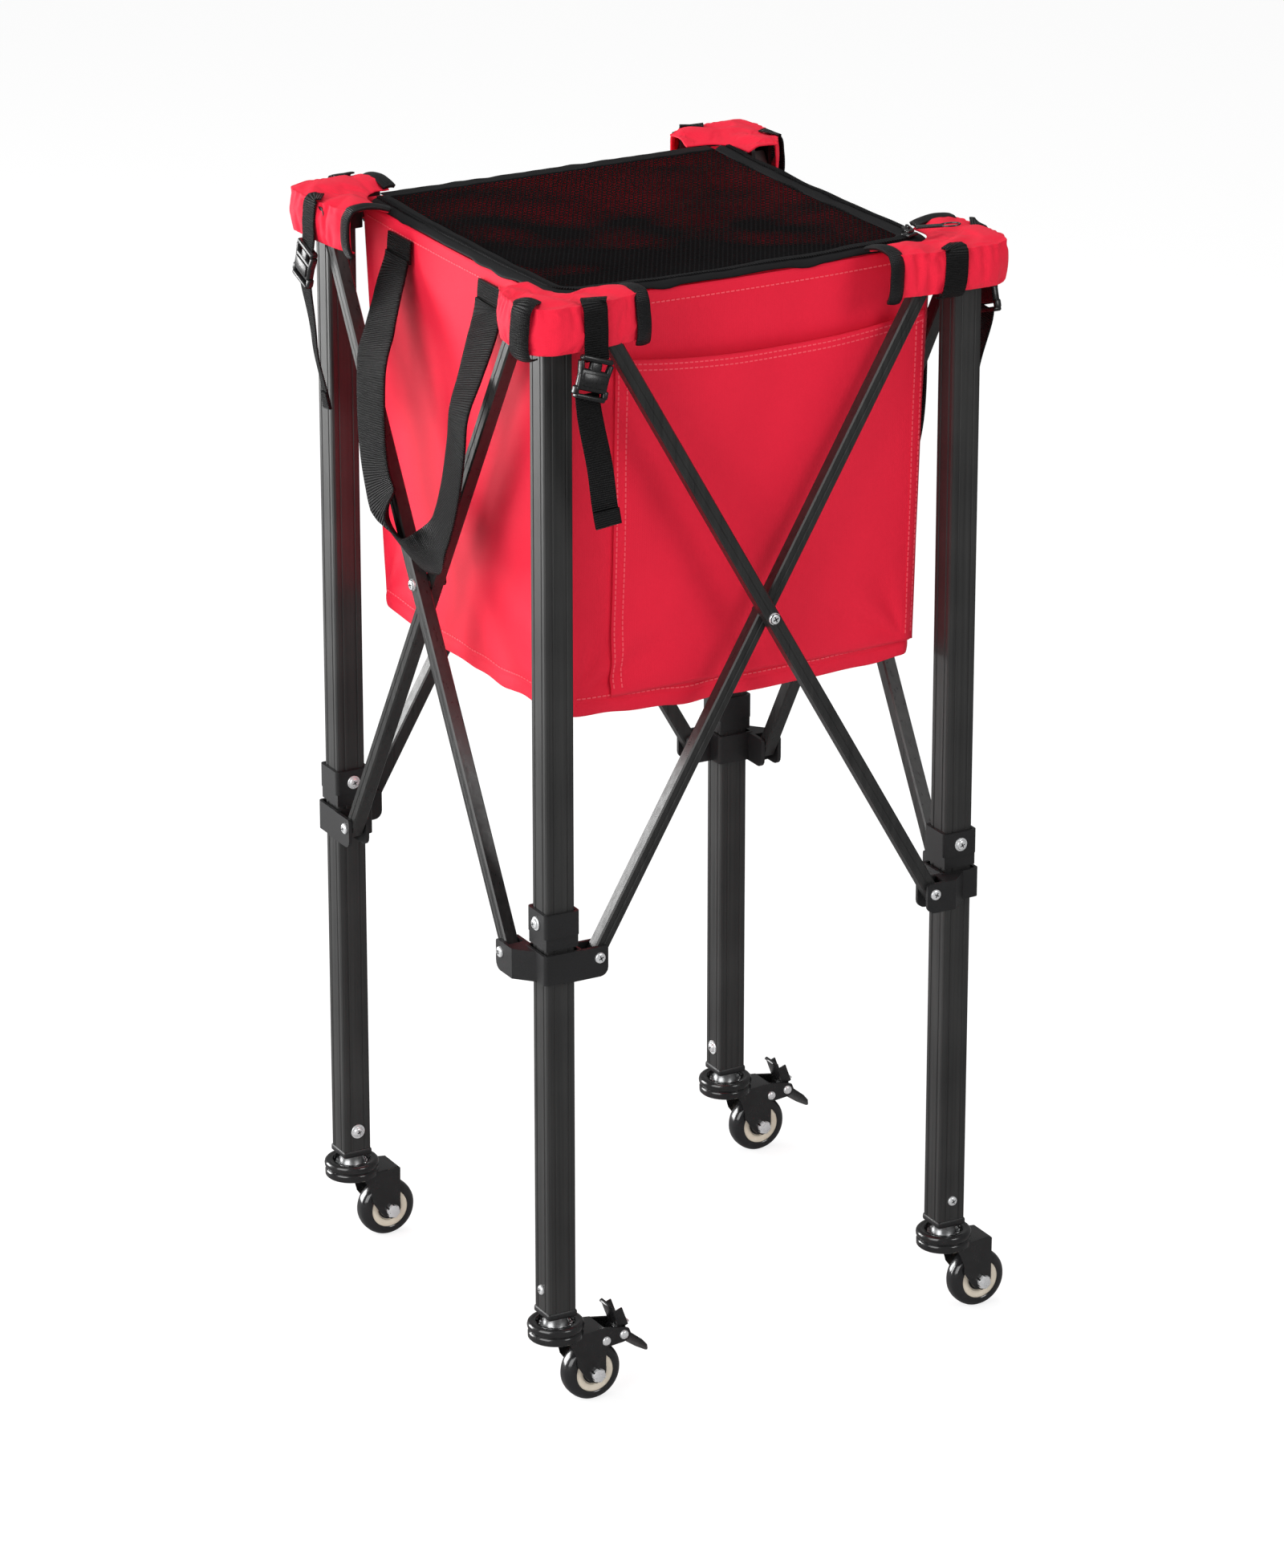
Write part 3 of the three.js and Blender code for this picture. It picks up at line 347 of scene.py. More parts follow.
for corner in corners:
    foot = moved(*corner_at[corner])
    dress(race_steel, f"foot_plug_{corner}")
    dress(caster_black, f"caster_fork_{corner}")
    bm = bmesh.new()
    lathe(bm, fork_head, 56, foot)
    fasten(object_from(bm, f"fork_head_rim_{corner}", caster_black), f"caster_{corner}")
    bm = bmesh.new()
    lathe(bm, king_pin, 40, foot)
    for ball in range(balls):
        turn = 2 * math.pi * ball / balls
        at = foot @ moved(ball_ring * math.cos(turn), ball_ring * math.sin(turn), ball_z)
        bmesh.ops.create_icosphere(bm, subdivisions=2, radius=ball_radius, matrix=at)
    fasten(object_from(bm, f"ball_race_{corner}", race_steel), f"leg_{corner}")


# A black moulded plug closes the foot of each tube. Its square flange stands a little proud all
# round and hides the tube's cut end.
for corner in corners:
    bm = bmesh.new()
    box(bm, (0.0262, 0.0262, 0.0060), moved(*corner_at[corner], 0.0840), bevel=0.0018, segments=3)
    fasten(object_from(bm, f"tube_end_cap_{corner}", nylon), f"leg_{corner}")


# Wheels: a glossy black polyurethane tread cast round a pale moulded rim, with a dark hub for the
# axle. They are turned about their axle, and stand for the plain wheels of the frame.
tread = finish_material("black_polyurethane", (0.010, 0.010, 0.011), (0.017, 0.017, 0.018), 0.14, 0.26,
                        (60, 60, 60), 0.05, coat=0.5, blotch=0.6)
pale_rim = finish_material("pale_moulded_rim", (0.66, 0.58, 0.46), (0.76, 0.69, 0.57), 0.34, 0.48,
                           (300, 300, 300), 0.10, blotch=0.6)
tread_half = [(0.0166, 0.0088), (0.0172, 0.0092), (0.0196, 0.0091), (0.0214, 0.0084), (0.0232, 0.0070),
              (0.0244, 0.0050), (0.0249, 0.0026), (0.0250, 0.0)]
wheel_rim_half = [(0.0060, 0.0068), (0.0104, 0.0068), (0.0109, 0.0080), (0.0116, 0.0084), (0.0160, 0.0084),
                  (0.0168, 0.0080)]
hub_half = [(0.0034, 0.0090), (0.0066, 0.0090), (0.0072, 0.0084), (0.0074, 0.0071), (0.0100, 0.0070)]
wheel_trail = 0.031
wheel_radius = 0.025
bolt_face = 0.0126
bolt_length = 0.0046


def both_halves(half):
    """A closed outline from its upper half, whose heights are counted from the middle."""
    return half + [(r, -h) for r, h in reversed(half) if h] + half[:1]


def rod(bm, radius, length, segments, matrix):
    """A rod along Z, put in place by its middle; gives back its points."""
    return bmesh.ops.create_cone(bm, cap_ends=True, segments=segments, radius1=radius, radius2=radius,
                                 depth=length, matrix=matrix)["verts"]


for corner in corners:
    x, y = corner_at[corner]
    axle = moved(x + wheel_trail, y, wheel_radius) @ turned(90, "X")
    bm = bmesh.new()
    for index, (half, steps) in enumerate(((tread_half, 72), (wheel_rim_half, 56), (hub_half, 40))):
        lathe(bm, both_halves(half), steps, axle, index)
    fasten(object_from(bm, f"wheel_cast_{corner}", tread, pale_rim, nylon), f"wheel_{corner}",
           f"wheel_{corner}")
    bm = bmesh.new()
    for way in (-1, 1):
        head = facing((x + wheel_trail, y + way * bolt_face, wheel_radius), (0, way, 0), 0.26)
        round_edges(bm, rod(bm, 0.0061, bolt_length, 6, head @ moved(0, 0, bolt_length / 2)), 0.0005)
    fasten(object_from(bm, f"axle_bolt_{corner}", zinc), f"caster_{corner}")


# Two casters carry a foot brake: a steel pedal that rocks on a rivet behind the wheel. A tongue with
# a pointed tip slopes down to the foot, and a folded lever with a plated edge stands up from it.
brake_steel = finish_material("brake_steel", (0.010, 0.010, 0.0105), (0.018, 0.018, 0.019), 0.20, 0.34,
                              (220, 220, 220), 0.12, metallic=0.2, coat=0.4)
tongue_plan = [(-0.0085, 0.001), (-0.0085, 0.008), (-0.0099, 0.021), (-0.0070, 0.030), (-0.0012, 0.0368),
               (0.0012, 0.0368), (0.0070, 0.030), (0.0099, 0.021), (0.0085, 0.008), (0.0085, 0.001)]
brake_x = 0.0557
brake_z = 0.0546
fork_face = 0.0125
lever_side = 0.0091
rivet_head = [(0, 0), (0.0038, 0), (0.0038, 0.0006), (0.0034, 0.0014), (0.0025, 0.0020), (0.0012, 0.0023),
              (0, 0.0024)]


def points_in(geom):
    return [g for g in geom if isinstance(g, bmesh.types.BMVert)]


for corner in ("fl", "br"):
    x, y = corner_at[corner]
    pivot = moved(x + brake_x, y, brake_z)
    bm = bmesh.new()
    rod(bm, 0.0046, 0.0196, 36, pivot @ turned(90, "X"))
    plan = [bm.verts.new((0.0010, across, along)) for across, along in tongue_plan]
    lifted = points_in(bmesh.ops.extrude_face_region(bm, geom=[bm.faces.new(plan)])["geom"])
    bmesh.ops.translate(bm, vec=(-0.0020, 0, 0), verts=lifted)
    bmesh.ops.recalc_face_normals(bm, faces=bm.faces)
    tongue = round_edges(bm, plan + lifted, 0.0005)
    bmesh.ops.transform(bm, matrix=pivot @ turned(131.6, "Y") @ turned(-24), verts=tongue)
    stand = pivot @ turned(-19.9, "Y")
    box(bm, (0.0020, 0.0198, 0.0215), stand @ moved(0, 0, 0.0158), 0.0006)
    box(bm, (0.0020, 0.0150, 0.0040), stand @ moved(-0.0012, 0, 0.0262) @ turned(-38, "Y"), 0.0006)
    for way in (-1, 1):
        box(bm, (0.0078, 0.0016, 0.0170), stand @ moved(0.0036, way * lever_side, 0.0132), 0.0006)
        box(bm, (0.0060, 0.0016, 0.0080), stand @ moved(0.0016, way * lever_side, 0.0030), 0.0006)
    box(bm, (0.0024, 0.0180, 0.0014), stand @ moved(0.0082, 0, 0.0066), 0.0004, material_index=1)
    cam_way = math.atan2(wheel_trail - brake_x, wheel_radius - brake_z)
    box(bm, (0.0040, 0.0118, 0.0110), pivot @ Matrix.Rotation(cam_way, 4, "Y") @ moved(0, 0, 0.0068), 0.0008)
    fasten(object_from(bm, f"brake_lever_{corner}", brake_steel, zinc), f"pedal_{corner}",
           f"brake_pedal_{corner}")
    bm = bmesh.new()
    for rivet_x, rivet_z in ((0.0394, 0.0525), (brake_x, brake_z)):
        for way in (-1, 1):
            lathe(bm, rivet_head, 28, facing((x + rivet_x, y + way * fork_face, rivet_z), (0, way, 0)))
    fasten(object_from(bm, f"brake_rivets_{corner}", zinc), f"caster_{corner}")


# The bag is red polyester cloth, plain woven and coated, sewn as one box that hangs from the leg
# tops. Its four sides are soft sheets that swell a little and meet in rounded corners; the rim is
# turned down and stitched, and a hem closes the foot. Each side rides with the leg that carries it.
weave, weave_in, weave_out = new_group("plain_weave", {"Threads": 7000.0}, ("Height", "Shade"))
weave_place = node_of(weave, "TexCoord").outputs["Object"]
weave_axes = node_of(weave, "SeparateXYZ", Vector=weave_place).outputs
threads = []
for line in (math_node(weave, "ADD", weave_axes["X"], weave_axes["Y"]), weave_axes["Z"],
             math_node(weave, "SUBTRACT", weave_axes["X"], weave_axes["Y"])):
    threads.append(math_node(weave, "SINE", math_node(weave, "MULTIPLY", line, weave_in.outputs["Threads"])))
crossing = weighed(weave, threads[0], threads[1], threads[2], 0.35)
slub = node_of(weave, "TexNoise", Scale=900.0, Detail=2.0, Vector=weave_place).outputs["Fac"]
cloud = node_of(weave, "TexNoise", Scale=9.0, Detail=3.0, Vector=weave_place).outputs["Fac"]
fill(weave, weave_out, Height=weighed(weave, crossing, 0.5, slub, 0.5),
     Shade=weighed(weave, cloud, 0.7, slub, 0.3))

threads_per_metre = 900
red_cloth, tree, shader = new_material("red_oxford_cloth")
woven = node_of(tree, "Group", node_tree=weave, Threads=2 * math.pi * threads_per_metre)
fill(tree, shader, Base_Color=two_tone(tree, woven.outputs["Shade"], 0.3, 0.7, (0.76, 0.005, 0.033),
                                       (0.86, 0.009, 0.042)),
     Normal=bumped(tree, woven.outputs["Height"], 0.45, 0.0003), Roughness=0.72, Specular_IOR_Level=0.30,
     Sheen_Weight=0.04, Sheen_Roughness=0.5, Sheen_Tint=(1.0, 0.45, 0.5, 1))
red_thread = finish_material("red_thread", (0.86, 0.055, 0.090), (0.95, 0.10, 0.14), 0.6, 0.8,
                             (900, 900, 900), 0.2)
rim_half = 0.168
foot_half = 0.157
rim_z = 0.917
rim_dip = 0.003
foot_z = 0.576
foot_sag = 0.006
bulge = 0.004
wall_corner = 0.010
cloth_depth = 0.0014
fold_edge = -0.166
fold_x = (1, 0, 0)
fold_y = (0, 1, 0)
stitch_length = 0.0030
stitch_space = 0.0014
stitch_thick = 0.0010
rim_seam = 1 - 0.0100 / 0.34
foot_seam = 0.0145 / 0.34


def half_at(z):
    return foot_half + (rim_half - foot_half) * (z - foot_z) / (rim_z - foot_z)


def ease(value, low, high):
    share = min(max((value - low) / (high - low), 0.0), 1.0)
    return share * share * (3 - 2 * share)


def crease(x, z, side):
    """Soft unevenness of the hanging cloth, in metres outwards, with pulls from the foot corners."""
    seed = sides.index(side) * 3.7
    waves = 0.0022 * noise.noise(Vector((x * 9 + seed, z * 5, seed)))
    ripple = 0.0010 * noise.noise(Vector((x * 24 - seed, z * 11, seed + 4)))
    pull_x, pull_z = 0.15, 0.59
    pull = 0.0
    for way in (-1, 1):
        dx = x - way * pull_x
        dz = z - pull_z
        away = math.hypot(dx, dz)
        rays = math.cos(math.atan2(dz, -way * dx) * 9 + seed)
        pull += 0.0017 * rays * ease(away, 0.0, 0.03) * ease(away, 0.17, 0.04)
    return waves + ripple + pull * ease(z, 0.72, 0.58)


def wall_point(u, v, side):
    """Place on the outer face of a front wall: u runs from -1 to 1 across and v from 0 to 1 up."""
    span = 1 - u * u
    low = foot_z - foot_sag * span
    wavy = 0.0030 * noise.noise(Vector((u * 4.5, 4.0 + sides.index(side), 2.0)))
    z = low + (rim_z - rim_dip * span - low) * v + wavy * (1 - v) ** 3 * ease(span, 0.0, 0.3)
    half = half_at(z)
    straight = half - wall_corner
    arc = wall_corner * math.pi / 4
    along = u * (straight + arc)
    swell = bulge * span * math.sin(math.pi * v)
    fade = ease(1 - abs(u), 0.0, 0.10) * ease(v, 0.0, 0.06) * ease(1 - v, 0.0, 0.08)
    out = swell + crease(along, z, side) * fade
    if abs(along) <= straight:
        return Vector((along, -half - out, z))
    turn = (abs(along) - straight) / wall_corner
    side_way = math.copysign(1, along)
    return Vector((side_way * (straight + (wall_corner + out) * math.sin(turn)),
                   -straight - (wall_corner + out) * math.cos(turn), z))


def grid_sheet(columns, rows, place):
    """A grid of quads with a UV map, whose points are placed by shares u and v from 0 to 1."""
    bm = bmesh.new()
    bm.loops.layers.uv.new("UVMap")
    bmesh.ops.create_grid(bm, x_segments=columns, y_segments=rows, size=0.5, calc_uvs=True)
    for vert in bm.verts:
        vert.co = place(vert.co.x + 0.5, vert.co.y + 0.5)
    bmesh.ops.recalc_face_normals(bm, faces=bm.faces)
    return bm


def face_out(bm, direction):
    """Turns a sheet so that its faces look the given way on average."""
    total = sum((f.normal * f.calc_area() for f in bm.faces), Vector())
    if total.dot(Vector(direction)) < 0:
        bmesh.ops.reverse_faces(bm, faces=bm.faces)


def thicken(object_, depth, offset=-1.0):
    solid = object_.modifiers.new("cloth", "SOLIDIFY")
    solid.thickness = depth
    solid.offset = offset
    solid.use_even_offset = False


wall_body = {"front": "leg_fl", "left": "leg_fl", "right": "leg_fr", "back": "leg_bl"}
wall_axis = {"front": fold_x, "back": fold_x, "left": fold_y, "right": fold_y}


def gather(piece, axis):
    """Gives the piece its own copy of its mesh."""
    tuple(a * fold_edge for a in axis)
    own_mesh(piece)
    tuple(axis)


def stitches(bm, points, outwards):
    """A row of short raised stitches along points that lie on the cloth."""
    run = 0.0
    for start, end in zip(points, points[1:]):
        size = (end - start).length
        along = (end - start).normalized()
        out = Vector(outwards)
        out = (out - along * out.dot(along)).normalized()
        turn = Matrix((along, out.cross(along), out)).transposed().to_4x4()
        while run < size:
            centre = start + along * (run + stitch_length / 2) + out * stitch_thick * 0.15
            made = bmesh.ops.create_cube(bm, size=1)["verts"]
            bmesh.ops.scale(bm, vec=(stitch_length, stitch_thick, stitch_thick), verts=made)
            for vert in made:
                if abs(vert.co.x) > stitch_length * 0.4:
                    vert.co.z -= stitch_thick * 0.5
            bmesh.ops.transform(bm, matrix=Matrix.Translation(centre) @ turn, verts=made)
            run += stitch_length + stitch_space
        run -= size


for side in sides:
    turn = side_turn[side]
    out = turn @ Vector((0, -1, 0))
    bm = grid_sheet(84, 86, lambda u, v: turn @ wall_point(2 * u - 1, v, side))
    face_out(bm, out)
    wall = object_from(bm, f"bag_side_{side}", red_cloth, angle=80)
    thicken(wall, cloth_depth)
    fasten(wall, wall_body[side], f"bag_wall_{side}")
    gather(wall, wall_axis[side])
    bm = bmesh.new()
    for row, reach in ((rim_seam, 37), (foot_seam, 38)):
        line = [turn @ (wall_point(u / 40, row, side) + Vector((0, -0.0004, 0)))
                for u in range(-reach, reach + 1)]
        stitches(bm, line, out)
    made = object_from(bm, f"rim_stitches_{side}", red_thread, smooth=False)
    fasten(made, wall_body[side])
    gather(made, wall_axis[side])


# The foot of each side is bound by a narrow strip of the same cloth, folded over the edge, which
# stands a little proud and is pulled uneven by its stitching.
def hem_point(u, v, side):
    turn = v * 2 * math.pi
    base = wall_point(2 * u - 1, 0.0, side)
    above = wall_point(2 * u - 1, 0.012 / (rim_z - foot_z), side)
    up = (above - base).normalized()
    out = Vector((base.x, 0, 0) if abs(base.x) > abs(base.y) else (0, base.y, 0)).normalized()
    puff = 0.0003 * noise.noise(Vector((u * 50, 2.0, sides.index(side))))
    height = 0.0062 * math.sin(turn) + 0.0055
    depth = (0.0014 + puff) * math.cos(turn)
    return base + up * height + out * (depth - cloth_depth / 2)


for side in sides:
    bm = grid_sheet(90, 14, lambda u, v: side_turn[side] @ hem_point(u, v, side))
    bmesh.ops.remove_doubles(bm, verts=bm.verts, dist=1e-5)
    bmesh.ops.holes_fill(bm, edges=[e for e in bm.edges if e.is_boundary], sides=0)
    bmesh.ops.recalc_face_normals(bm, faces=bm.faces)
    made = object_from(bm, f"foot_hem_{side}", red_cloth, angle=60)
    fasten(made, wall_body[side])
    gather(made, wall_axis[side])


# The floor of the bag is the same cloth in two halves, which fold up along the middle.
# It hangs a little between its edges, under the weight of the balls that it has carried.
floor_width = 0.305
floor_depth = 0.1515
floor_edge = 0.153
floor_z = 0.5795


def floor_point(u, v, way):
    x = (u - 0.5) * floor_width
    y = way * (0.0006 + floor_depth * v)
    dip = (1 - (x / floor_edge) ** 2) * (1 - (y / floor_edge) ** 2)
    return Vector((x, y, floor_z - 0.0015 * dip + 0.0008 * noise.noise(Vector((x * 20, y * 20, 7.0)))))


for half, way in (("front", -1), ("back", 1)):
    bm = grid_sheet(60, 30, lambda u, v: floor_point(u, v, way))
    face_out(bm, (0, 0, 1))
    made = object_from(bm, f"bag_base_{half}", red_cloth, angle=80)
    thicken(made, 0.0016)
    fasten(made, f"floor_{half}", f"bag_floor_{half}")
    gather(made, fold_x)


# The front pocket is one wide sheet sewn to the front wall down both sides and along the foot.
# Its mouth hangs slack in a shallow curve, with a doubled hem and two rows of stitches.
pocket_left = -0.119
pocket_right = 0.158
pocket_top = 0.865
pocket_foot = 0.588
pocket_dip = 0.009


def wall_out(x, z):
    """How far in front the bag's front wall is at a place across and up."""
    u = x / (half_at(z) - wall_corner + wall_corner * math.pi / 4)
    v = (z - foot_z) / (rim_z - foot_z)
    return wall_point(max(min(u, 1), -1), max(min(v, 1), 0), "front").y


def pocket_point(u, v, proud):
    """Place on the pocket by shares across and up, proud of the sheet by a distance."""
    x = pocket_left + (pocket_right - pocket_left) * u
    hang = 1 - (2 * u - 1) ** 2
    z = pocket_foot + (pocket_top - pocket_dip * hang - pocket_foot) * v
    slack = 0.0055 * hang ** 0.6 * ease(v, 0.55, 1.0) + 0.0012
    slack += 0.0010 * hang * math.sin(5.2 * u + 1) * ease(v, 0.3, 0.9)
    edge = ease(u, 0.0, 0.035) * ease(1 - u, 0.0, 0.035)
    return Vector((x, wall_out(x, z) - 0.0008 - slack * (0.35 + 0.65 * edge) - proud, z))


bm = grid_sheet(110, 80, lambda u, v: pocket_point(u, v, 0.0006 * ease(v, 0.958, 0.966)))
face_out(bm, (0, -1, 0))
pocket = object_from(bm, "pocket_sheet", red_cloth, angle=80)
thicken(pocket, 0.0012, 1.0)
fasten(pocket, "leg_fl", "front_pocket")
gather(pocket, fold_x)
bm = bmesh.new()
for height in (0.987, 0.970):
    stitches(bm, [pocket_point(u / 60, height, 0.0017) for u in range(1, 60)], (0, -1, 0))
for share in (0.008, 0.032):
    for edge in (share, 1 - share):
        stitches(bm, [pocket_point(edge, v / 40, 0.0016) for v in range(1, 40)], (0, -1, 0))
made = object_from(bm, "pocket_stitches", red_thread, smooth=False)
fasten(made, "leg_fl")
gather(made, fold_x)


# The lid is black sports mesh with six-sided openings, knitted from thick yarn. It is cut with
# blunt corners, sags a little in the middle and is sewn to the hem behind it.
net_black = finish_material("black_mesh_yarn", (0.002, 0.002, 0.0025), (0.005, 0.005, 0.0055), 0.62, 0.8,
                            (900, 900, 900), 0.2, blotch=0.3, specular=0.12)
tape_black = finish_material("black_tape", (0.003, 0.003, 0.0035), (0.009, 0.009, 0.010), 0.6, 0.8,
                             (1400, 1400, 500), 0.4, blotch=0.3, specular=0.2)
lid_half = 0.164
lid_back = 0.152
lid_cut = 0.026
lid_z = 0.9186
net_pitch = 0.0042


def lid_height(x, y):
    across_share = min(abs(x) / lid_half, 1)
    along_share = min(abs(y + 0.006) / 0.158, 1)
    hang = (1 - across_share ** 2) * (1 - along_share ** 2)
    wave = 0.0012 * noise.noise(Vector((x * 18, y * 18, 1.5)))
    return lid_z - 0.006 * hang + wave * ease(hang, 0.0, 0.2)


def repeat(bm, count, shift):
    """Copies the faces there are, each copy moved by shift(number), and joins what touches."""
    first = list(bm.faces)
    for number in range(1, count):
        copied = bmesh.ops.duplicate(bm, geom=first)["geom"]
        bmesh.ops.translate(bm, vec=shift(number), verts=points_in(copied))
    bmesh.ops.remove_doubles(bm, verts=bm.verts, dist=net_pitch * 0.1)


bm = bmesh.new()
cell = net_pitch / math.sqrt(3)
columns = int(2 * lid_half / net_pitch) + 2
rows = int((lid_half + lid_back) / (1.5 * cell)) + 2
bmesh.ops.create_circle(bm, cap_ends=True, segments=6, radius=cell)
repeat(bm, columns, lambda number: (net_pitch * number, 0, 0))
repeat(bm, rows, lambda number: (number % 2 * net_pitch / 2, 1.5 * cell * number, 0))
bmesh.ops.translate(bm, vec=(-net_pitch * columns / 2, -lid_half - 0.002, 0), verts=bm.verts)
edge = lid_half - 0.005
blunt = lid_half - lid_cut / 2 - 0.003
cuts = [((edge, 0), (1, 0)), ((-edge, 0), (-1, 0)), ((0, -edge), (0, -1)), ((0, lid_back), (0, 1)),
        ((blunt, -blunt), (1, -1)), ((-blunt, -blunt), (-1, -1))]
for place, normal in cuts:
    bmesh.ops.bisect_plane(bm, geom=list(bm.verts) + list(bm.edges) + list(bm.faces), plane_co=(*place, 0),
                           plane_no=(*normal, 0), clear_outer=True)
for vert in bm.verts:
    vert.co.z = lid_height(vert.co.x, vert.co.y)
bmesh.ops.recalc_face_normals(bm, faces=bm.faces)
net = object_from(bm, "lid_net", net_black, smooth=False)
yarn = net.modifiers.new("yarn", "WIREFRAME")
yarn.thickness = 0.0011
yarn.use_even_offset = False
yarn.use_boundary = True
fasten(net, "lid", "lid")
gather(net, fold_x)


# A zip runs round three sides of the lid: a black tape that lies over the bag's rim, a raised coil
# of small teeth along it, and two sliders parked at the front right corner, one with a pull ring.
zip_z = 0.9222
tooth_pitch = 0.0019


def outwards(degrees):
    turn = math.radians(degrees)
    return Vector((math.cos(turn), math.sin(turn), 0))


def lid_route(inset, steps=28):
    """Round the left, front and right edges of the lid, from the back left corner to the back right."""
    bend = 0.024
    reach = rim_half - 0.0005 - inset
    turn_at = reach - bend
    back = lid_back - 0.004
    edges = [((-reach, back, 0), (-reach, -turn_at, 0), 180),
             ((-turn_at, -reach, 0), (turn_at, -reach, 0), 270),
             ((reach, -turn_at, 0), (reach, back, 0), 360)]
    found = []
    for start, end, heading in edges:
        out = outwards(heading)
        found += [(Vector(start).lerp(Vector(end), step / steps), out) for step in range(steps)]
        for step in range(1 if heading == 360 else 9):
            round_out = outwards(heading + 10 * step)
            found.append((Vector(end) + (round_out - out) * bend, round_out))
    return found


def rim_wave(at, seed):
    """The zip's unevenness, and the dip of the rim that it lies on."""
    wave = 0.0010 * noise.noise(Vector((at.x * 24, at.y * 24, 5.0 + seed)))
    return wave, -rim_dip * (1 - (min(abs(at.x), abs(at.y)) / rim_half) ** 2) * 0.8


def tape_strip(name, route, width, low, high):
    """A band along a route, at one height at its outer edge and at another at its inner edge."""
    def place(u, v):
        share = u * (len(route) - 1)
        index = min(int(share), len(route) - 2)
        at = route[index][0].lerp(route[index + 1][0], share - index)
        out = route[index][1].lerp(route[index + 1][1], share - index).normalized()
        wave, dip = rim_wave(at, low * 100)
        roll = 0.0007 * noise.noise(Vector((at.x * 55, at.y * 55, 9.0 + low * 100)))
        lift = low + (high - low) * v + (0.0016 + roll) * math.sin(math.pi * v)
        edge = max(0.0034 * noise.noise(Vector((at.x * 34, at.y * 34, 12.0))), 0) * (1 - v) ** 2
        up = Vector((0, 0, lift + wave * 1.3 + dip - edge * 0.8))
        return at - out * (width * v + wave * 0.9 - edge) + up
    bm = grid_sheet(len(route) * 2, 8, place)
    face_out(bm, (0, 0, 1))
    made = object_from(bm, name, tape_black, angle=80)
    thicken(made, 0.0010)
    fasten(made, "lid")
    gather(made, fold_x)


tape_strip("zip_tape_outer", lid_route(-0.0006), 0.0092, 0.9182, 0.9214)
tape_strip("zip_tape_inner", lid_route(0.0088), 0.0100, 0.9216, 0.9200)
bm = bmesh.new()
teeth_route = lid_route(0.0072, 120)
for (start, out), (end, _) in zip(teeth_route, teeth_route[1:]):
    count = max(int((end - start).length / tooth_pitch), 1)
    for tooth in range(count):
        centre = start + (end - start) * (tooth + 0.5) / count
        centre.z = zip_z + sum(rim_wave(centre, 92.0))
        turn = Matrix.Rotation(math.atan2(out.y, out.x), 4, "Z")
        box(bm, (0.0038, 0.0012, 0.0018), Matrix.Translation(centre) @ turn)
teeth = object_from(bm, "zip_coil", tape_black, smooth=False)
fasten(teeth, "lid")
gather(teeth, fold_x)


# The strip behind the lid is its hem: black tape, sewn flat inside the back wall.
# The lid turns back over it when the zip is open.
hem_width = 0.300
hem_depth = 0.0130
hem_z = 0.9195
bm = grid_sheet(80, 5, lambda u, v: Vector(((u - 0.5) * hem_width, lid_back + hem_depth * v,
                                            hem_z + 0.0008 * noise.noise(Vector((u * 20, v, 3.0))))))
face_out(bm, (0, 0, 1))
made = object_from(bm, "lid_back_hem", tape_black, angle=80)
thicken(made, 0.0012)
fasten(made, "lid_hem", "lid_hem")
gather(made, fold_x)


# Two zip sliders in black enamelled metal are parked at the front right corner. The nearer one
# carries a flat pull with a ring of bent wire.
enamel = finish_material("black_enamel", (0.012, 0.012, 0.013), (0.022, 0.022, 0.023), 0.18, 0.32,
                         (300, 300, 300), 0.08, metallic=0.3, coat=0.5)
ring_steps = 28
ring_wire = 0.0007
bm = bmesh.new()
for slider_x, slider_y, spin in ((0.1500, -0.1570, 20), (0.1560, -0.1440, 75)):
    at = moved(slider_x, slider_y, 0.9236) @ turned(spin)
    box(bm, (0.0120, 0.0080, 0.0026), at, 0.0010)
    box(bm, (0.0070, 0.0026, 0.0026), at @ moved(0, 0, 0.0022), 0.0008)
pull = moved(0.1640, -0.1640, 0.9300) @ turned(-30) @ turned(-4, "Y")
box(bm, (0.0220, 0.0062, 0.0018), pull, 0.0006)
ring = []
for step in range(ring_steps + 1):
    turn = 2 * math.pi * step / ring_steps
    ring.append(Vector((0.0160 + 0.0078 * math.cos(turn), 0.0048 * math.sin(turn), 0.0004)))
for start, end in zip(ring, ring[1:]):
    way = Matrix.Rotation(math.atan2(end.y - start.y, end.x - start.x), 4, "Z")
    at = pull @ Matrix.Translation((start + end) / 2) @ way @ turned(90, "Y")
    rod(bm, ring_wire, (end - start).length * 1.15, 10, at)
made = object_from(bm, "zip_sliders", enamel)
fasten(made, "lid")
gather(made, fold_x)


# A padded hood of the same red cloth covers each leg top. It is sewn in the shape of an L along the
# rim, filled out by its foam over the bracket, gathered along the seam at its top edge and turned
# under at its foot. The cloth is filled by a short simulation; the arms differ a little in length.
hood_face = 0.0306
hood_bend = 0.0230
hood_rim = 0.0132
hood_turn = 0.0380
hood_tops = {"fl": 0.9262, "fr": 0.9235, "br": 0.9228, "bl": 0.9230}
hood_foot = 0.8886
hood_tapers = {"fl": 0.0070, "fr": 0.0070, "br": 0.0150, "bl": 0.0080}
hood_arms = {"fl": (0.067, 0.040), "fr": (0.052, 0.076), "br": (0.048, 0.052), "bl": (0.070, 0.042)}


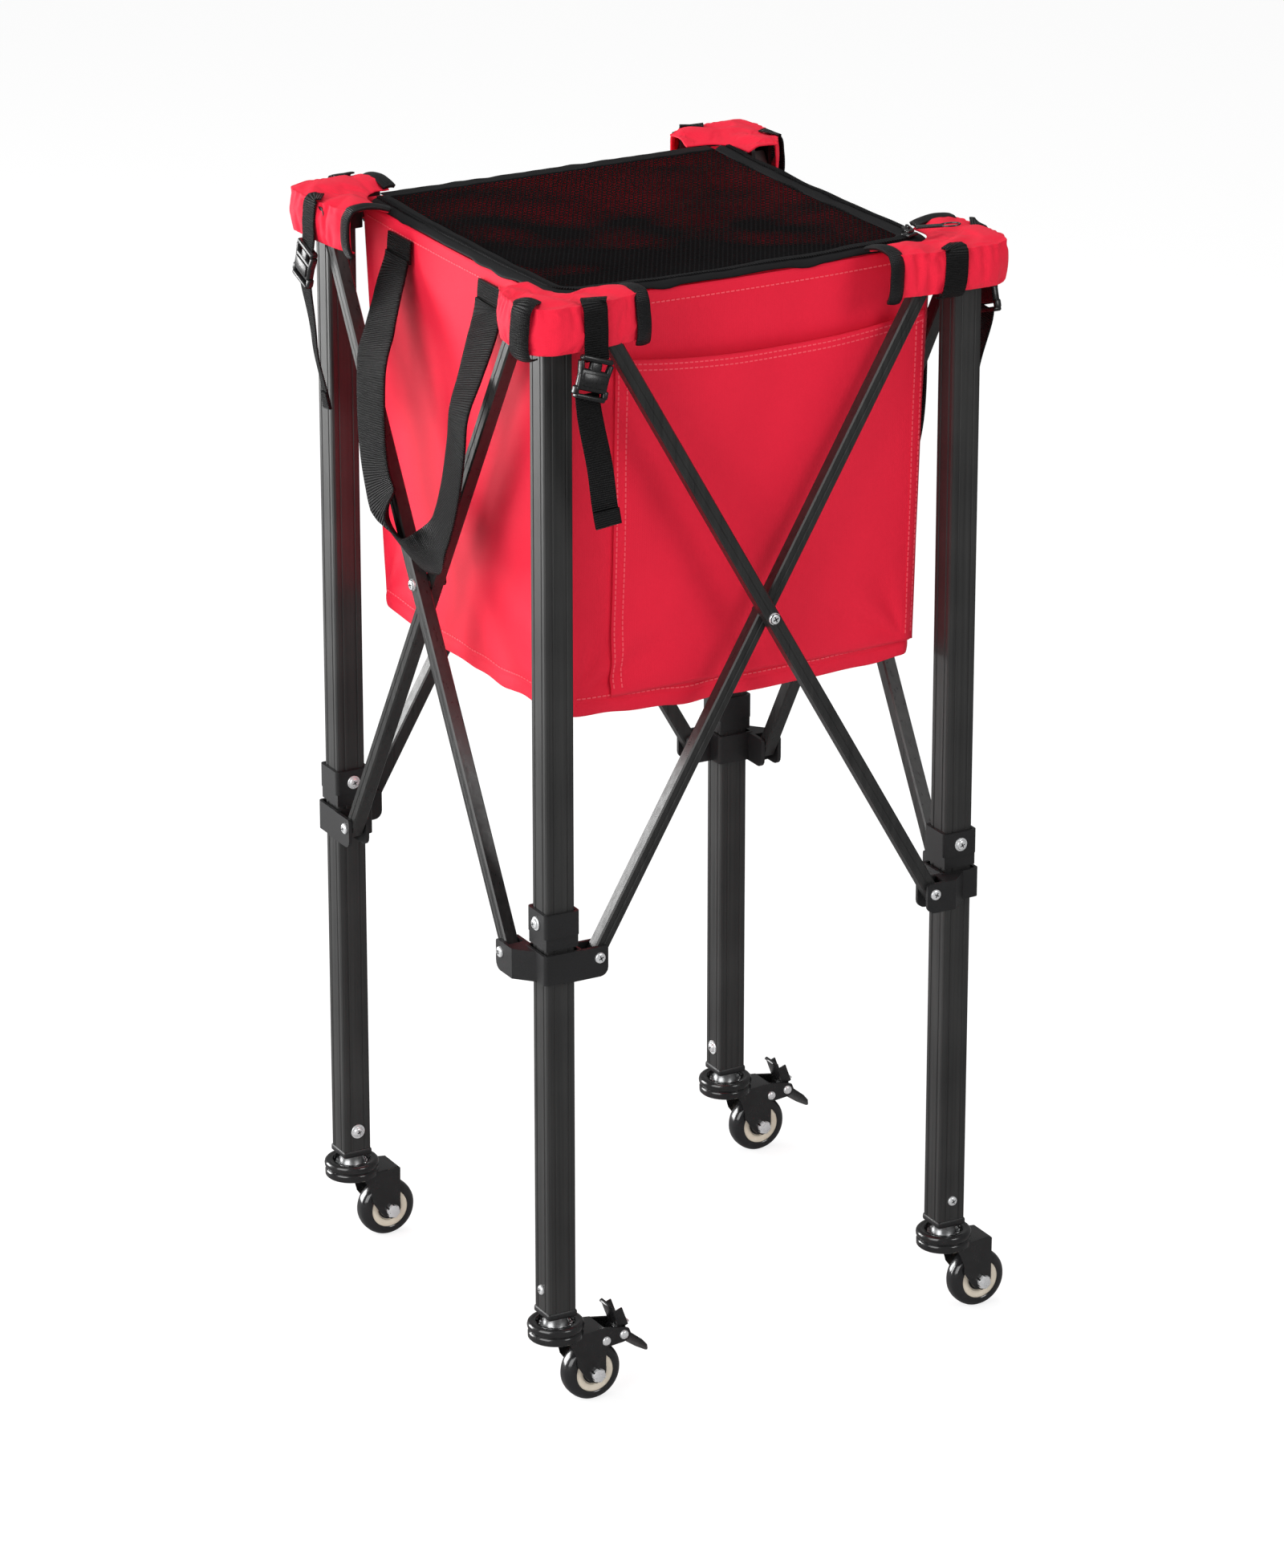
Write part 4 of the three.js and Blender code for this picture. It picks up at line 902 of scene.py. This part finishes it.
def hood_edges(u, corner):
    """Inner point, outer point and outward direction of a hood's plan, from one arm's end to the other."""
    first, second = hood_arms[corner]
    near = hood_face - hood_bend
    taper = hood_tapers[corner]
    if u < 0.4:
        t = u / 0.4
        face = hood_face - taper * (1 - t) ** 2
        return (Vector((first + (hood_turn - first) * t, hood_rim)),
                Vector((first - (first + near) * t, -face)), Vector((0, -1)))
    if u <= 0.6:
        turn = math.radians(270 - 90 * (u - 0.4) / 0.2)
        out = Vector((math.cos(turn), math.sin(turn)))
        inner = Vector((hood_turn, hood_turn)) + out * (hood_turn - hood_rim)
        return inner, Vector((-near, -near)) + out * hood_bend, out
    t = (u - 0.6) / 0.4
    face = hood_face - taper * t ** 2
    return (Vector((hood_rim, hood_turn + (second - hood_turn) * t)),
            Vector((-face, -near + (second + near) * t)), Vector((-1, 0)))


def hood_point(u, v, corner):
    inner, outer, out = hood_edges(u, corner)
    hood_top = hood_tops[corner]
    seed = corners.index(corner) * 5.3
    end = ease(min(u, 1 - u), 0.0, 0.10)
    if v < 0.46:
        share = v / 0.46
        plan = inner.lerp(outer, share)
        crown = 0.0026 * math.sin(math.pi * share) * (0.6 + 0.4 * end)
        z = 0.9200 + (hood_top - 0.9200) * ease(share, 0.0, 0.4) + crown
        z += 0.0010 * noise.noise(Vector((plan.x * 40 + seed, plan.y * 40, 2.0)))
    else:
        share = (v - 0.46) / 0.54
        fold = math.exp(-(share / 0.10) ** 2)
        gather = 0.0009 * math.sin(u * 95 + seed + 2.0 * math.sin(u * 23 + seed)) * math.exp(-share / 0.32)
        belly = 0.0022 * math.sin(math.pi * min(share * 1.1, 1)) * (0.5 + 0.5 * end)
        tuck = -0.0040 * ease(share, 0.90, 1.0) - 0.0012 * (1 - end)
        plan = outer + out * (0.0010 * fold + belly + gather + tuck)
        z = hood_top + 0.0009 * fold - (hood_top - hood_foot) * ease(share, 0.0, 1.02) ** 0.92
    return Vector((plan.x, plan.y, z))


def fill_out(piece, held, most):
    """Fills a piece of cloth like a cushion by a short simulation, and keeps each point within reach."""
    group = piece.vertex_groups.new(name="held")
    for index, weight in held.items():
        group.add([index], weight, "REPLACE")
    filling = piece.modifiers.new("filling", "CLOTH")
    filling.settings.quality = 6
    filling.settings.mass = 0.15
    filling.settings.tension_stiffness = 12
    filling.settings.compression_stiffness = 12
    filling.settings.shear_stiffness = 5
    filling.settings.bending_stiffness = 0.08
    filling.settings.air_damping = 4
    filling.settings.vertex_group_mass = "held"
    filling.settings.use_pressure = True
    filling.settings.uniform_pressure_force = 4
    filling.settings.shrink_min = -0.05
    filling.settings.effector_weights.gravity = 0
    scene = bpy.context.scene
    for step in range(1, 21):
        scene.frame_set(step)
    drawn = piece.evaluated_get(bpy.context.evaluated_depsgraph_get()).data
    goals = [vert.co.copy() for vert in drawn.vertices]
    for vert, goal in zip(piece.data.vertices, goals):
        move = goal - vert.co
        if move.length > most:
            move.length = most
        vert.co += move
    piece.modifiers.remove(filling)
    scene.frame_set(1)


def held_weight(at, corner):
    """How firmly a point is held: at the ends of the arms, the foot, the lid's side and the top seam."""
    first, second = hood_arms[corner]
    rim = max(ease(first - at.x, 0.004, 0.0) if at.y < hood_rim + 0.002 and at.x > hood_rim else 0,
              ease(second - at.y, 0.004, 0.0) if at.x < hood_rim + 0.002 and at.y > hood_rim else 0)
    foot = ease(at.z, hood_foot + 0.003, hood_foot + 0.0005)
    lid_side = 1.0 if 0.915 < at.z < 0.9208 and min(at.x, at.y) > hood_rim - 0.0100 else 0.0
    on_seam = abs(at.z - hood_tops[corner] - 0.0006) < 0.0010 and min(at.x, at.y) < 0.0020 - hood_face
    return max(rim, foot, lid_side, 0.75 if on_seam else 0.0)


for corner in corners:
    place = corner_place[corner]
    bm = grid_sheet(96, 40, lambda u, v: hood_point(u, v, corner))
    bmesh.ops.transform(bm, matrix=place, verts=bm.verts)
    face_out(bm, (*corner_at[corner], 0.1))
    held = {}
    for vert in bm.verts:
        weight = held_weight(place.inverted() @ vert.co, corner)
        if weight > 0:
            held[vert.index] = weight
    hood = object_from(bm, f"hood_{corner}", red_cloth, angle=80)
    fill_out(hood, held, 0.0042)
    thicken(hood, 0.0016)
    soft = hood.modifiers.new("soft", "SUBSURF")
    soft.levels = 1
    soft.render_levels = 1
    fasten(hood, f"leg_{corner}", f"corner_cap_{corner}")


# The webbing is woven flat from black yarn, with fine ribs across it and a faint ground along it:
# 20 mm wide on the hoods and straps and 38 mm for the handles. The binding is a finer tape. Each
# band is a ribbon through stations, most of them even steps along a smooth curve.
ribs, ribs_in, ribs_out = new_group("webbing_ribs", {"Pitch": 0.0016}, ("Height",))
ribs_axes = node_of(ribs, "SeparateXYZ", Vector=node_of(ribs, "UVMap").outputs[0]).outputs
rib_turns = math_node(ribs, "DIVIDE", math_node(ribs, "MULTIPLY", ribs_axes["Y"], 2 * math.pi),
                      ribs_in.outputs["Pitch"])
ground_pitch = 0.0011
ground_turns = math_node(ribs, "DIVIDE", math_node(ribs, "MULTIPLY", ribs_axes["X"], 2 * math.pi),
                         ground_pitch)
fill(ribs, ribs_out, Height=weighed(ribs, math_node(ribs, "SINE", rib_turns), 1.0,
                                    math_node(ribs, "SINE", ground_turns), 0.35))


def webbing_material(name, low, high, pitch, bump):
    made = finish_material(name, low, high, 0.36, 0.50, (700, 700, 700), 0.2, blotch=0.3, specular=0.34)
    tree = made.node_tree
    woven = node_of(tree, "Group", node_tree=ribs, Pitch=pitch)
    fill(tree, tree.nodes["Principled BSDF"], Normal=bumped(tree, woven.outputs["Height"], bump, 0.0010))
    return made


webbing = webbing_material("black_webbing", (0.003, 0.003, 0.0035), (0.009, 0.009, 0.0095), 0.0019, 1.0)
binding = webbing_material("black_binding", (0.003, 0.003, 0.0035), (0.010, 0.010, 0.011), 0.0012, 0.5)
webbing_width = 0.0200
webbing_thick = 0.0013


def ribbon(name, stations, width, thick, material, place, columns=8, rounded=0.0):
    """Flat webbing through stations of (place, width direction), with a UV map in metres along it."""
    length = sum((b - a).length for (a, _), (b, _) in zip(stations, stations[1:]))
    rows = len(stations) - 1

    def at(u, v):
        index = min(int(v * rows + 1e-6), rows - 1)
        part = v * rows - index
        centre = stations[index][0].lerp(stations[index + 1][0], part)
        wide = stations[index][1].lerp(stations[index + 1][1], part)
        before = max(index - (0 if part > 0.5 else 1), 0)
        along = stations[index + 1][0] - stations[before][0]
        wide = (wide - along * (wide.dot(along) / max(along.length_squared, 1e-12))).normalized()
        out = along.normalized().cross(wide)
        return centre + wide * width * (u - 0.5) + out * rounded * (1 - (2 * u - 1) ** 2)
    bm = grid_sheet(columns, rows, at)
    layer = bm.loops.layers.uv.verify()
    for face in bm.faces:
        for loop in face.loops:
            u, v = loop[layer].uv
            loop[layer].uv = (u * width, v * length)
    bmesh.ops.transform(bm, matrix=place, verts=bm.verts)
    made = object_from(bm, name, material, angle=80)
    thicken(made, thick, 0.0)
    return made


def smooth_route(points, count):
    """Even steps along a smooth curve through the points."""
    knots = [points[0] * 2 - points[1], *points, points[-1] * 2 - points[-2]]
    fine = []
    for index in range(1, len(knots) - 2):
        a, b, c, d = knots[index - 1:index + 3]
        for step in range(24):
            t = step / 24
            fine.append(0.5 * ((2 * b) + (c - a) * t + (2 * a - 5 * b + 4 * c - d) * t * t
                               + (3 * b - 3 * c + d - a) * t ** 3))
    fine.append(points[-1])
    lengths = [0.0]
    for a, b in zip(fine, fine[1:]):
        lengths.append(lengths[-1] + (b - a).length)
    found = []
    index = 0
    for step in range(count + 1):
        goal = lengths[-1] * step / count
        while index < len(fine) - 2 and lengths[index + 1] < goal:
            index += 1
        part = (goal - lengths[index]) / max(lengths[index + 1] - lengths[index], 1e-9)
        found.append(fine[index].lerp(fine[index + 1], min(part, 1)))
    return found, lengths[-1]


def over_hood(u, corner, points):
    """A route over a hood: (share of the way from rim to face, lift off the face, height for a full hood)."""
    inner, outer, out = hood_edges(u, corner)
    drop = 0.9250 - hood_tops[corner]
    found = []
    for share, lift, z in points:
        plan = inner.lerp(outer, share) + out * lift
        found.append(Vector((plan.x, plan.y, z - drop * ease(z, hood_foot, 0.925) * share)))
    return found


def along_hood(u, corner):
    out = hood_edges(u, corner)[2]
    return Vector((-out.y, out.x, 0))


# Black binding tape is folded over the open ends of the hoods, from the zip down to the foot. It
# is sewn freehand, so it wanders a little to and fro.
bound_ends = {"fl": ("first",), "fr": ("first", "second"), "br": (), "bl": ("first", "second")}
binding_width = 0.0110
binding_steps = 34
binding_points = [
    (0.02, 0, 0.9212), (0.20, 0, 0.9240), (0.50, 0, 0.9266), (0.75, 0, 0.9268), (0.92, 0, 0.9258),
    (1.0, -0.0005, 0.9228), (1.0, 0.0018, 0.9180), (1.0, 0.0028, 0.9080), (1.0, 0.0026, 0.8980),
    (1.0, 0.0008, 0.8905), (1.0, -0.0015, 0.8868)]
for corner in corners:
    for end in bound_ends[corner]:
        u, way = (0.004, -1) if end == "first" else (0.996, 1)
        line, run = smooth_route(over_hood(u, corner, binding_points), binding_steps)
        wide = along_hood(u, corner)
        stations = []
        for index, at in enumerate(line):
            sway = 0.0022 * math.sin(index / binding_steps * math.pi * 1.1) + 0.0008 * noise.noise(at * 70)
            stations.append((at + wide * sway * way * 0.6, wide))
        made = ribbon(f"hood_binding_{corner}_{end}", stations, binding_width, 0.0030, binding,
                      corner_place[corner], rounded=0.0012)
        fasten(made, f"leg_{corner}")


# A short band of webbing is sewn down the side of each hood and turned under its foot. On the
# front left hood it lies round the corner, where it bows out more.
band_place = {"fl": -0.0200, "fr": 0.0250, "br": 0.0270, "bl": 0.0200}
band_steps = 26
band_points = [
    (0.86, 0, 0.9276), (1.0, 0.0004, 0.9272), (1.0, 0.0038, 0.9222), (1.0, 0.0046, 0.9130),
    (1.0, 0.0050, 0.9050), (1.0, 0.0044, 0.8960), (1.0, 0.0024, 0.8890), (1.0, -0.0010, 0.8862),
    (1.0, -0.0060, 0.8858)]
near = hood_face - hood_bend
for corner in corners:
    along_arm = (band_place[corner] + near) / (hood_arms[corner][1] + near)
    u, bow = (0.6 + 0.4 * along_arm, 0.0004) if along_arm > 0 else (0.565, 0.0026)
    line, run = smooth_route(over_hood(u, corner, band_points), band_steps)
    wide = along_hood(u, corner)
    stations = [(at + wide * (0.0010 - 0.0042 * (index / band_steps) ** 2), wide)
                for index, at in enumerate(line)]
    made = ribbon(f"hood_band_{corner}", stations, webbing_width, webbing_thick, webbing, corner_place[corner],
                  rounded=bow)
    fasten(made, f"leg_{corner}")


# On the other side of each hood a strap comes down to a side release buckle, moulded in black
# nylon. The buckle hangs a little askew; its loose tail drifts sideways and ends in a stitched tip.
buckle_nylon = finish_material("buckle_nylon", (0.006, 0.006, 0.006), (0.012, 0.012, 0.013), 0.24, 0.38,
                               (600, 600, 600), 0.12, blotch=0.4, coat=0.15)
strap_at = {"fl": 0.0205, "fr": 0.0215, "br": 0.0215, "bl": 0.0215}
strap_drawn = {"fl": 0.0, "fr": 0.0170, "br": 0.0, "bl": 0.0130}
strap_points = [
    (0.86, 0, 0.9276), (1.0, 0.0004, 0.9272), (1.0, 0.0038, 0.9222), (1.0, 0.0048, 0.9130),
    (1.0, 0.0054, 0.9050), (1.0, 0.0052, 0.8960), (1.0, 0.0056, 0.8890), (1.0, 0.0066, 0.8830)]
tail_steps = 32
tip_width = 0.0206
for corner in corners:
    place = corner_place[corner]
    body = f"leg_{corner}"
    strap_x = strap_at[corner]
    along_arm = (hood_arms[corner][0] - strap_x) / (hood_arms[corner][0] + near)
    line, run = smooth_route(over_hood(0.4 * along_arm, corner, strap_points), 24)
    made = ribbon(f"strap_upper_{corner}", [(at, Vector((1, 0, 0.06))) for at in line], webbing_width,
                  webbing_thick, webbing, place)
    fasten(made, body, f"cap_strap_{corner}")
    drawn = strap_drawn[corner]
    tail = []
    for step in range(tail_steps + 1):
        down = step / tail_steps
        x = strap_x - 0.0095 + 0.0180 * down ** 1.35
        y = -0.0374 - 0.0045 * math.sin(math.pi * down) + 0.0010 * math.sin(9 * down)
        y += drawn * (0.3 + 0.7 * ease(down, 0.0, 0.5))
        twist = 0.30 * math.sin(2.4 * down)
        z = 0.8590 - 0.1080 * down
        tail.append((Vector((x, y, z)), Vector((math.cos(twist), -math.sin(twist), 0.10))))
    made = ribbon(f"strap_tail_{corner}", tail, webbing_width, webbing_thick, webbing, place)
    fasten(made, body)
    tip = [(at + Vector((0, -0.0016, 0)), wide) for at, wide in tail[-5:]]
    made = ribbon(f"strap_tip_{corner}", tip, tip_width, 0.0014, webbing, place, columns=6)
    fasten(made, body)
    lean = Matrix.Rotation(math.radians(-10) + 12 * drawn, 4, "X")
    tilt = place @ moved(strap_x - 0.0050, -0.0384 + 0.2 * drawn, 0.8705) @ lean @ turned(19, "Y")
    bm = bmesh.new()
    box(bm, (0.0262, 0.0062, 0.0170), tilt @ moved(0, 0, -0.0020), 0.0022, 3)
    for way in (-1, 1):
        prong = moved(way * 0.0118, 0, 0.0064) @ turned(way * 10, "Y")
        box(bm, (0.0040, 0.0060, 0.0120), tilt @ prong, 0.0015, 3)
        box(bm, (0.0046, 0.0056, 0.0070), tilt @ moved(way * 0.0126, 0, -0.0110), 0.0015, 3)
    box(bm, (0.0096, 0.0054, 0.0110), tilt @ moved(0, 0, 0.0070), 0.0015, 3)
    box(bm, (0.0268, 0.0066, 0.0044), tilt @ moved(0, 0, 0.0142), 0.0016, 3)
    box(bm, (0.0262, 0.0070, 0.0040), tilt @ moved(0, 0, -0.0150), 0.0016, 3)
    box(bm, (0.0200, 0.0020, 0.0100), tilt @ moved(0, -0.0034, -0.0020), 0.0008)
    fasten(object_from(bm, f"buckle_{corner}", buckle_nylon), body)


# Each side has a carrying handle of wide ribbed webbing. Its two ends are sewn to the bag just
# under the hoods; it comes out over the bars, hangs in a loop and turns over once at the bottom.
handle_width = 0.038
root_width = 0.0384
handle_steps = 140
wall_y = -rim_half - bulge / 3 - 0.0024
handle_course = [
    (-0.0900, wall_y - 0.0020, 0.8898), (-0.0900, wall_y - 0.0026, 0.8850), (-0.0886, wall_y - 0.0066, 0.8760),
    (-0.0810, -0.1872, 0.8610), (-0.0700, -0.2000, 0.8390), (-0.0590, -0.2130, 0.8130),
    (-0.0550, -0.2160, 0.7700), (-0.0530, -0.2150, 0.7380), (-0.0450, -0.2145, 0.7150),
    (-0.0270, -0.2160, 0.6970), (-0.0020, -0.2190, 0.6845), (0.0250, -0.2200, 0.6805),
    (0.0480, -0.2190, 0.6900), (0.0640, -0.2165, 0.7120), (0.0790, -0.2160, 0.7460),
    (0.0900, -0.2160, 0.7860), (0.0900, -0.2132, 0.8140), (0.0840, -0.2002, 0.8390),
    (0.0764, -0.1876, 0.8610), (0.0690, wall_y - 0.0068, 0.8760), (0.0642, wall_y - 0.0026, 0.8850),
    (0.0640, wall_y - 0.0020, 0.8898)]
for side in ("left", "right"):
    for mark, root_x in (("a", -0.0900), ("b", 0.0640)):
        root = [(Vector((root_x, wall_y + out, z)), Vector((1, 0, 0)))
                for out, z in ((0.0010, 0.9050), (0, 0.8960), (-0.0002, 0.8862))]
        made = ribbon(f"handle_root_{side}_{mark}", root, root_width, 0.0022, webbing, side_turn[side])
        fasten(made, wall_body[side])
        gather(made, fold_y)
    route, length = smooth_route([Vector(point) for point in handle_course], handle_steps)
    stations = []
    for index, at in enumerate(route):
        share = index / handle_steps
        turn = math.pi / 2 * (ease(share, 0.38, 0.46) + ease(share, 0.50, 0.62))
        lean = (0.12 - 0.26 * ease(share, 0.45, 0.66)) * ease(share, 0.06, 0.16) * ease(share, 0.95, 0.84)
        stations.append((at, Vector((math.cos(turn), math.sin(lean) * math.cos(turn) - 0.6 * math.sin(turn),
                                     0.8 * math.sin(turn)))))
    made = ribbon(f"webbing_handle_{side}", stations, handle_width, 0.0018, webbing, side_turn[side],
                  columns=10, rounded=0.0008)
    fasten(made, f"handle_{side}", f"handle_{side}")
    gather(made, fold_y)


# The floor and the light belong to the studio: a pale floor that shows white to the camera and
# keeps soft shadows, a wide key light from the left, and weaker ones in front, above and behind.
def studio_rays(tree):
    """Shares of the rays that should see white, and of those that are mirrored in glossy faces."""
    ray = tree.nodes.new("ShaderNodeLightPath")
    seen = math_node(tree, "MAXIMUM", ray.outputs["Is Camera Ray"], ray.outputs["Is Transmission Ray"])
    return seen, ray.outputs["Is Glossy Ray"]


def shown(tree, share, plain, white, end):
    """Mixes white into the plain surface by a share and sends it to the output."""
    blend = node_of(tree, "MixShader")
    for socket, value in zip(blend.inputs, (share, plain.outputs[0], white.outputs[0])):
        feed(tree, socket, value)
    tree.links.new(blend.outputs[0], tree.nodes[end].inputs["Surface"])


stage_floor, tree, shader = new_material("stage_floor")
seen, mirrored = studio_rays(tree)
# Glossy faces see the floor as dark grey (0.20) instead of its pale 0.86: a painted darker reflection.
paint = node_of(tree, "Mix", data_type="RGBA", A=(0.86, 0.86, 0.86, 1), B=(0.20, 0.20, 0.20, 1),
                Factor=mirrored)
fill(tree, shader, Base_Color=paint.outputs["Result"], Roughness=0.9, Specular_IOR_Level=0.1)
white = node_of(tree, "Emission", Strength=1.22)
shown(tree, math_node(tree, "MULTIPLY", seen, 0.64), shader, white, "Material Output")
bm = bmesh.new()
bmesh.ops.create_grid(bm, x_segments=1, y_segments=1, size=12)
object_from(bm, "stage_ground", stage_floor, smooth=False)

world = bpy.data.worlds.new("studio")
bpy.context.scene.world = world
world.use_nodes = True
tree = world.node_tree
seen, mirrored = studio_rays(tree)
dimmed = math_node(tree, "SUBTRACT", 0.50, math_node(tree, "MULTIPLY", mirrored, 0.32))
soft_light = fill(tree, tree.nodes["Background"], Color=(1, 1, 1, 1), Strength=dimmed)
shown(tree, seen, soft_light, node_of(tree, "Background", Strength=1.0), "World Output")


def lamp(name, place, target, size, power):
    light = bpy.data.lights.new(name, "AREA")
    light.shape = "SQUARE"
    light.size = size
    light.energy = power
    made = bpy.data.objects.new(name, light)
    bpy.context.scene.collection.objects.link(made)
    made.matrix_world = facing(place, Vector(place) - Vector(target))


lamp("key_lamp", (-3.2, -1.0, 1.9), (0, 0, 0.55), 2.8, 92)
lamp("fill_lamp", (1.2, -3.2, 2.2), (0, 0, 0.5), 1.2, 26)
lamp("top_lamp", (0.3, 0.6, 3.2), (0, 0, 0.6), 1.6, 22)
lamp("edge_lamp", (-2.1, 2.6, 0.8), (0, 0, 0.4), 1.6, 95)

bpy.context.scene.view_settings.view_transform = "Standard"
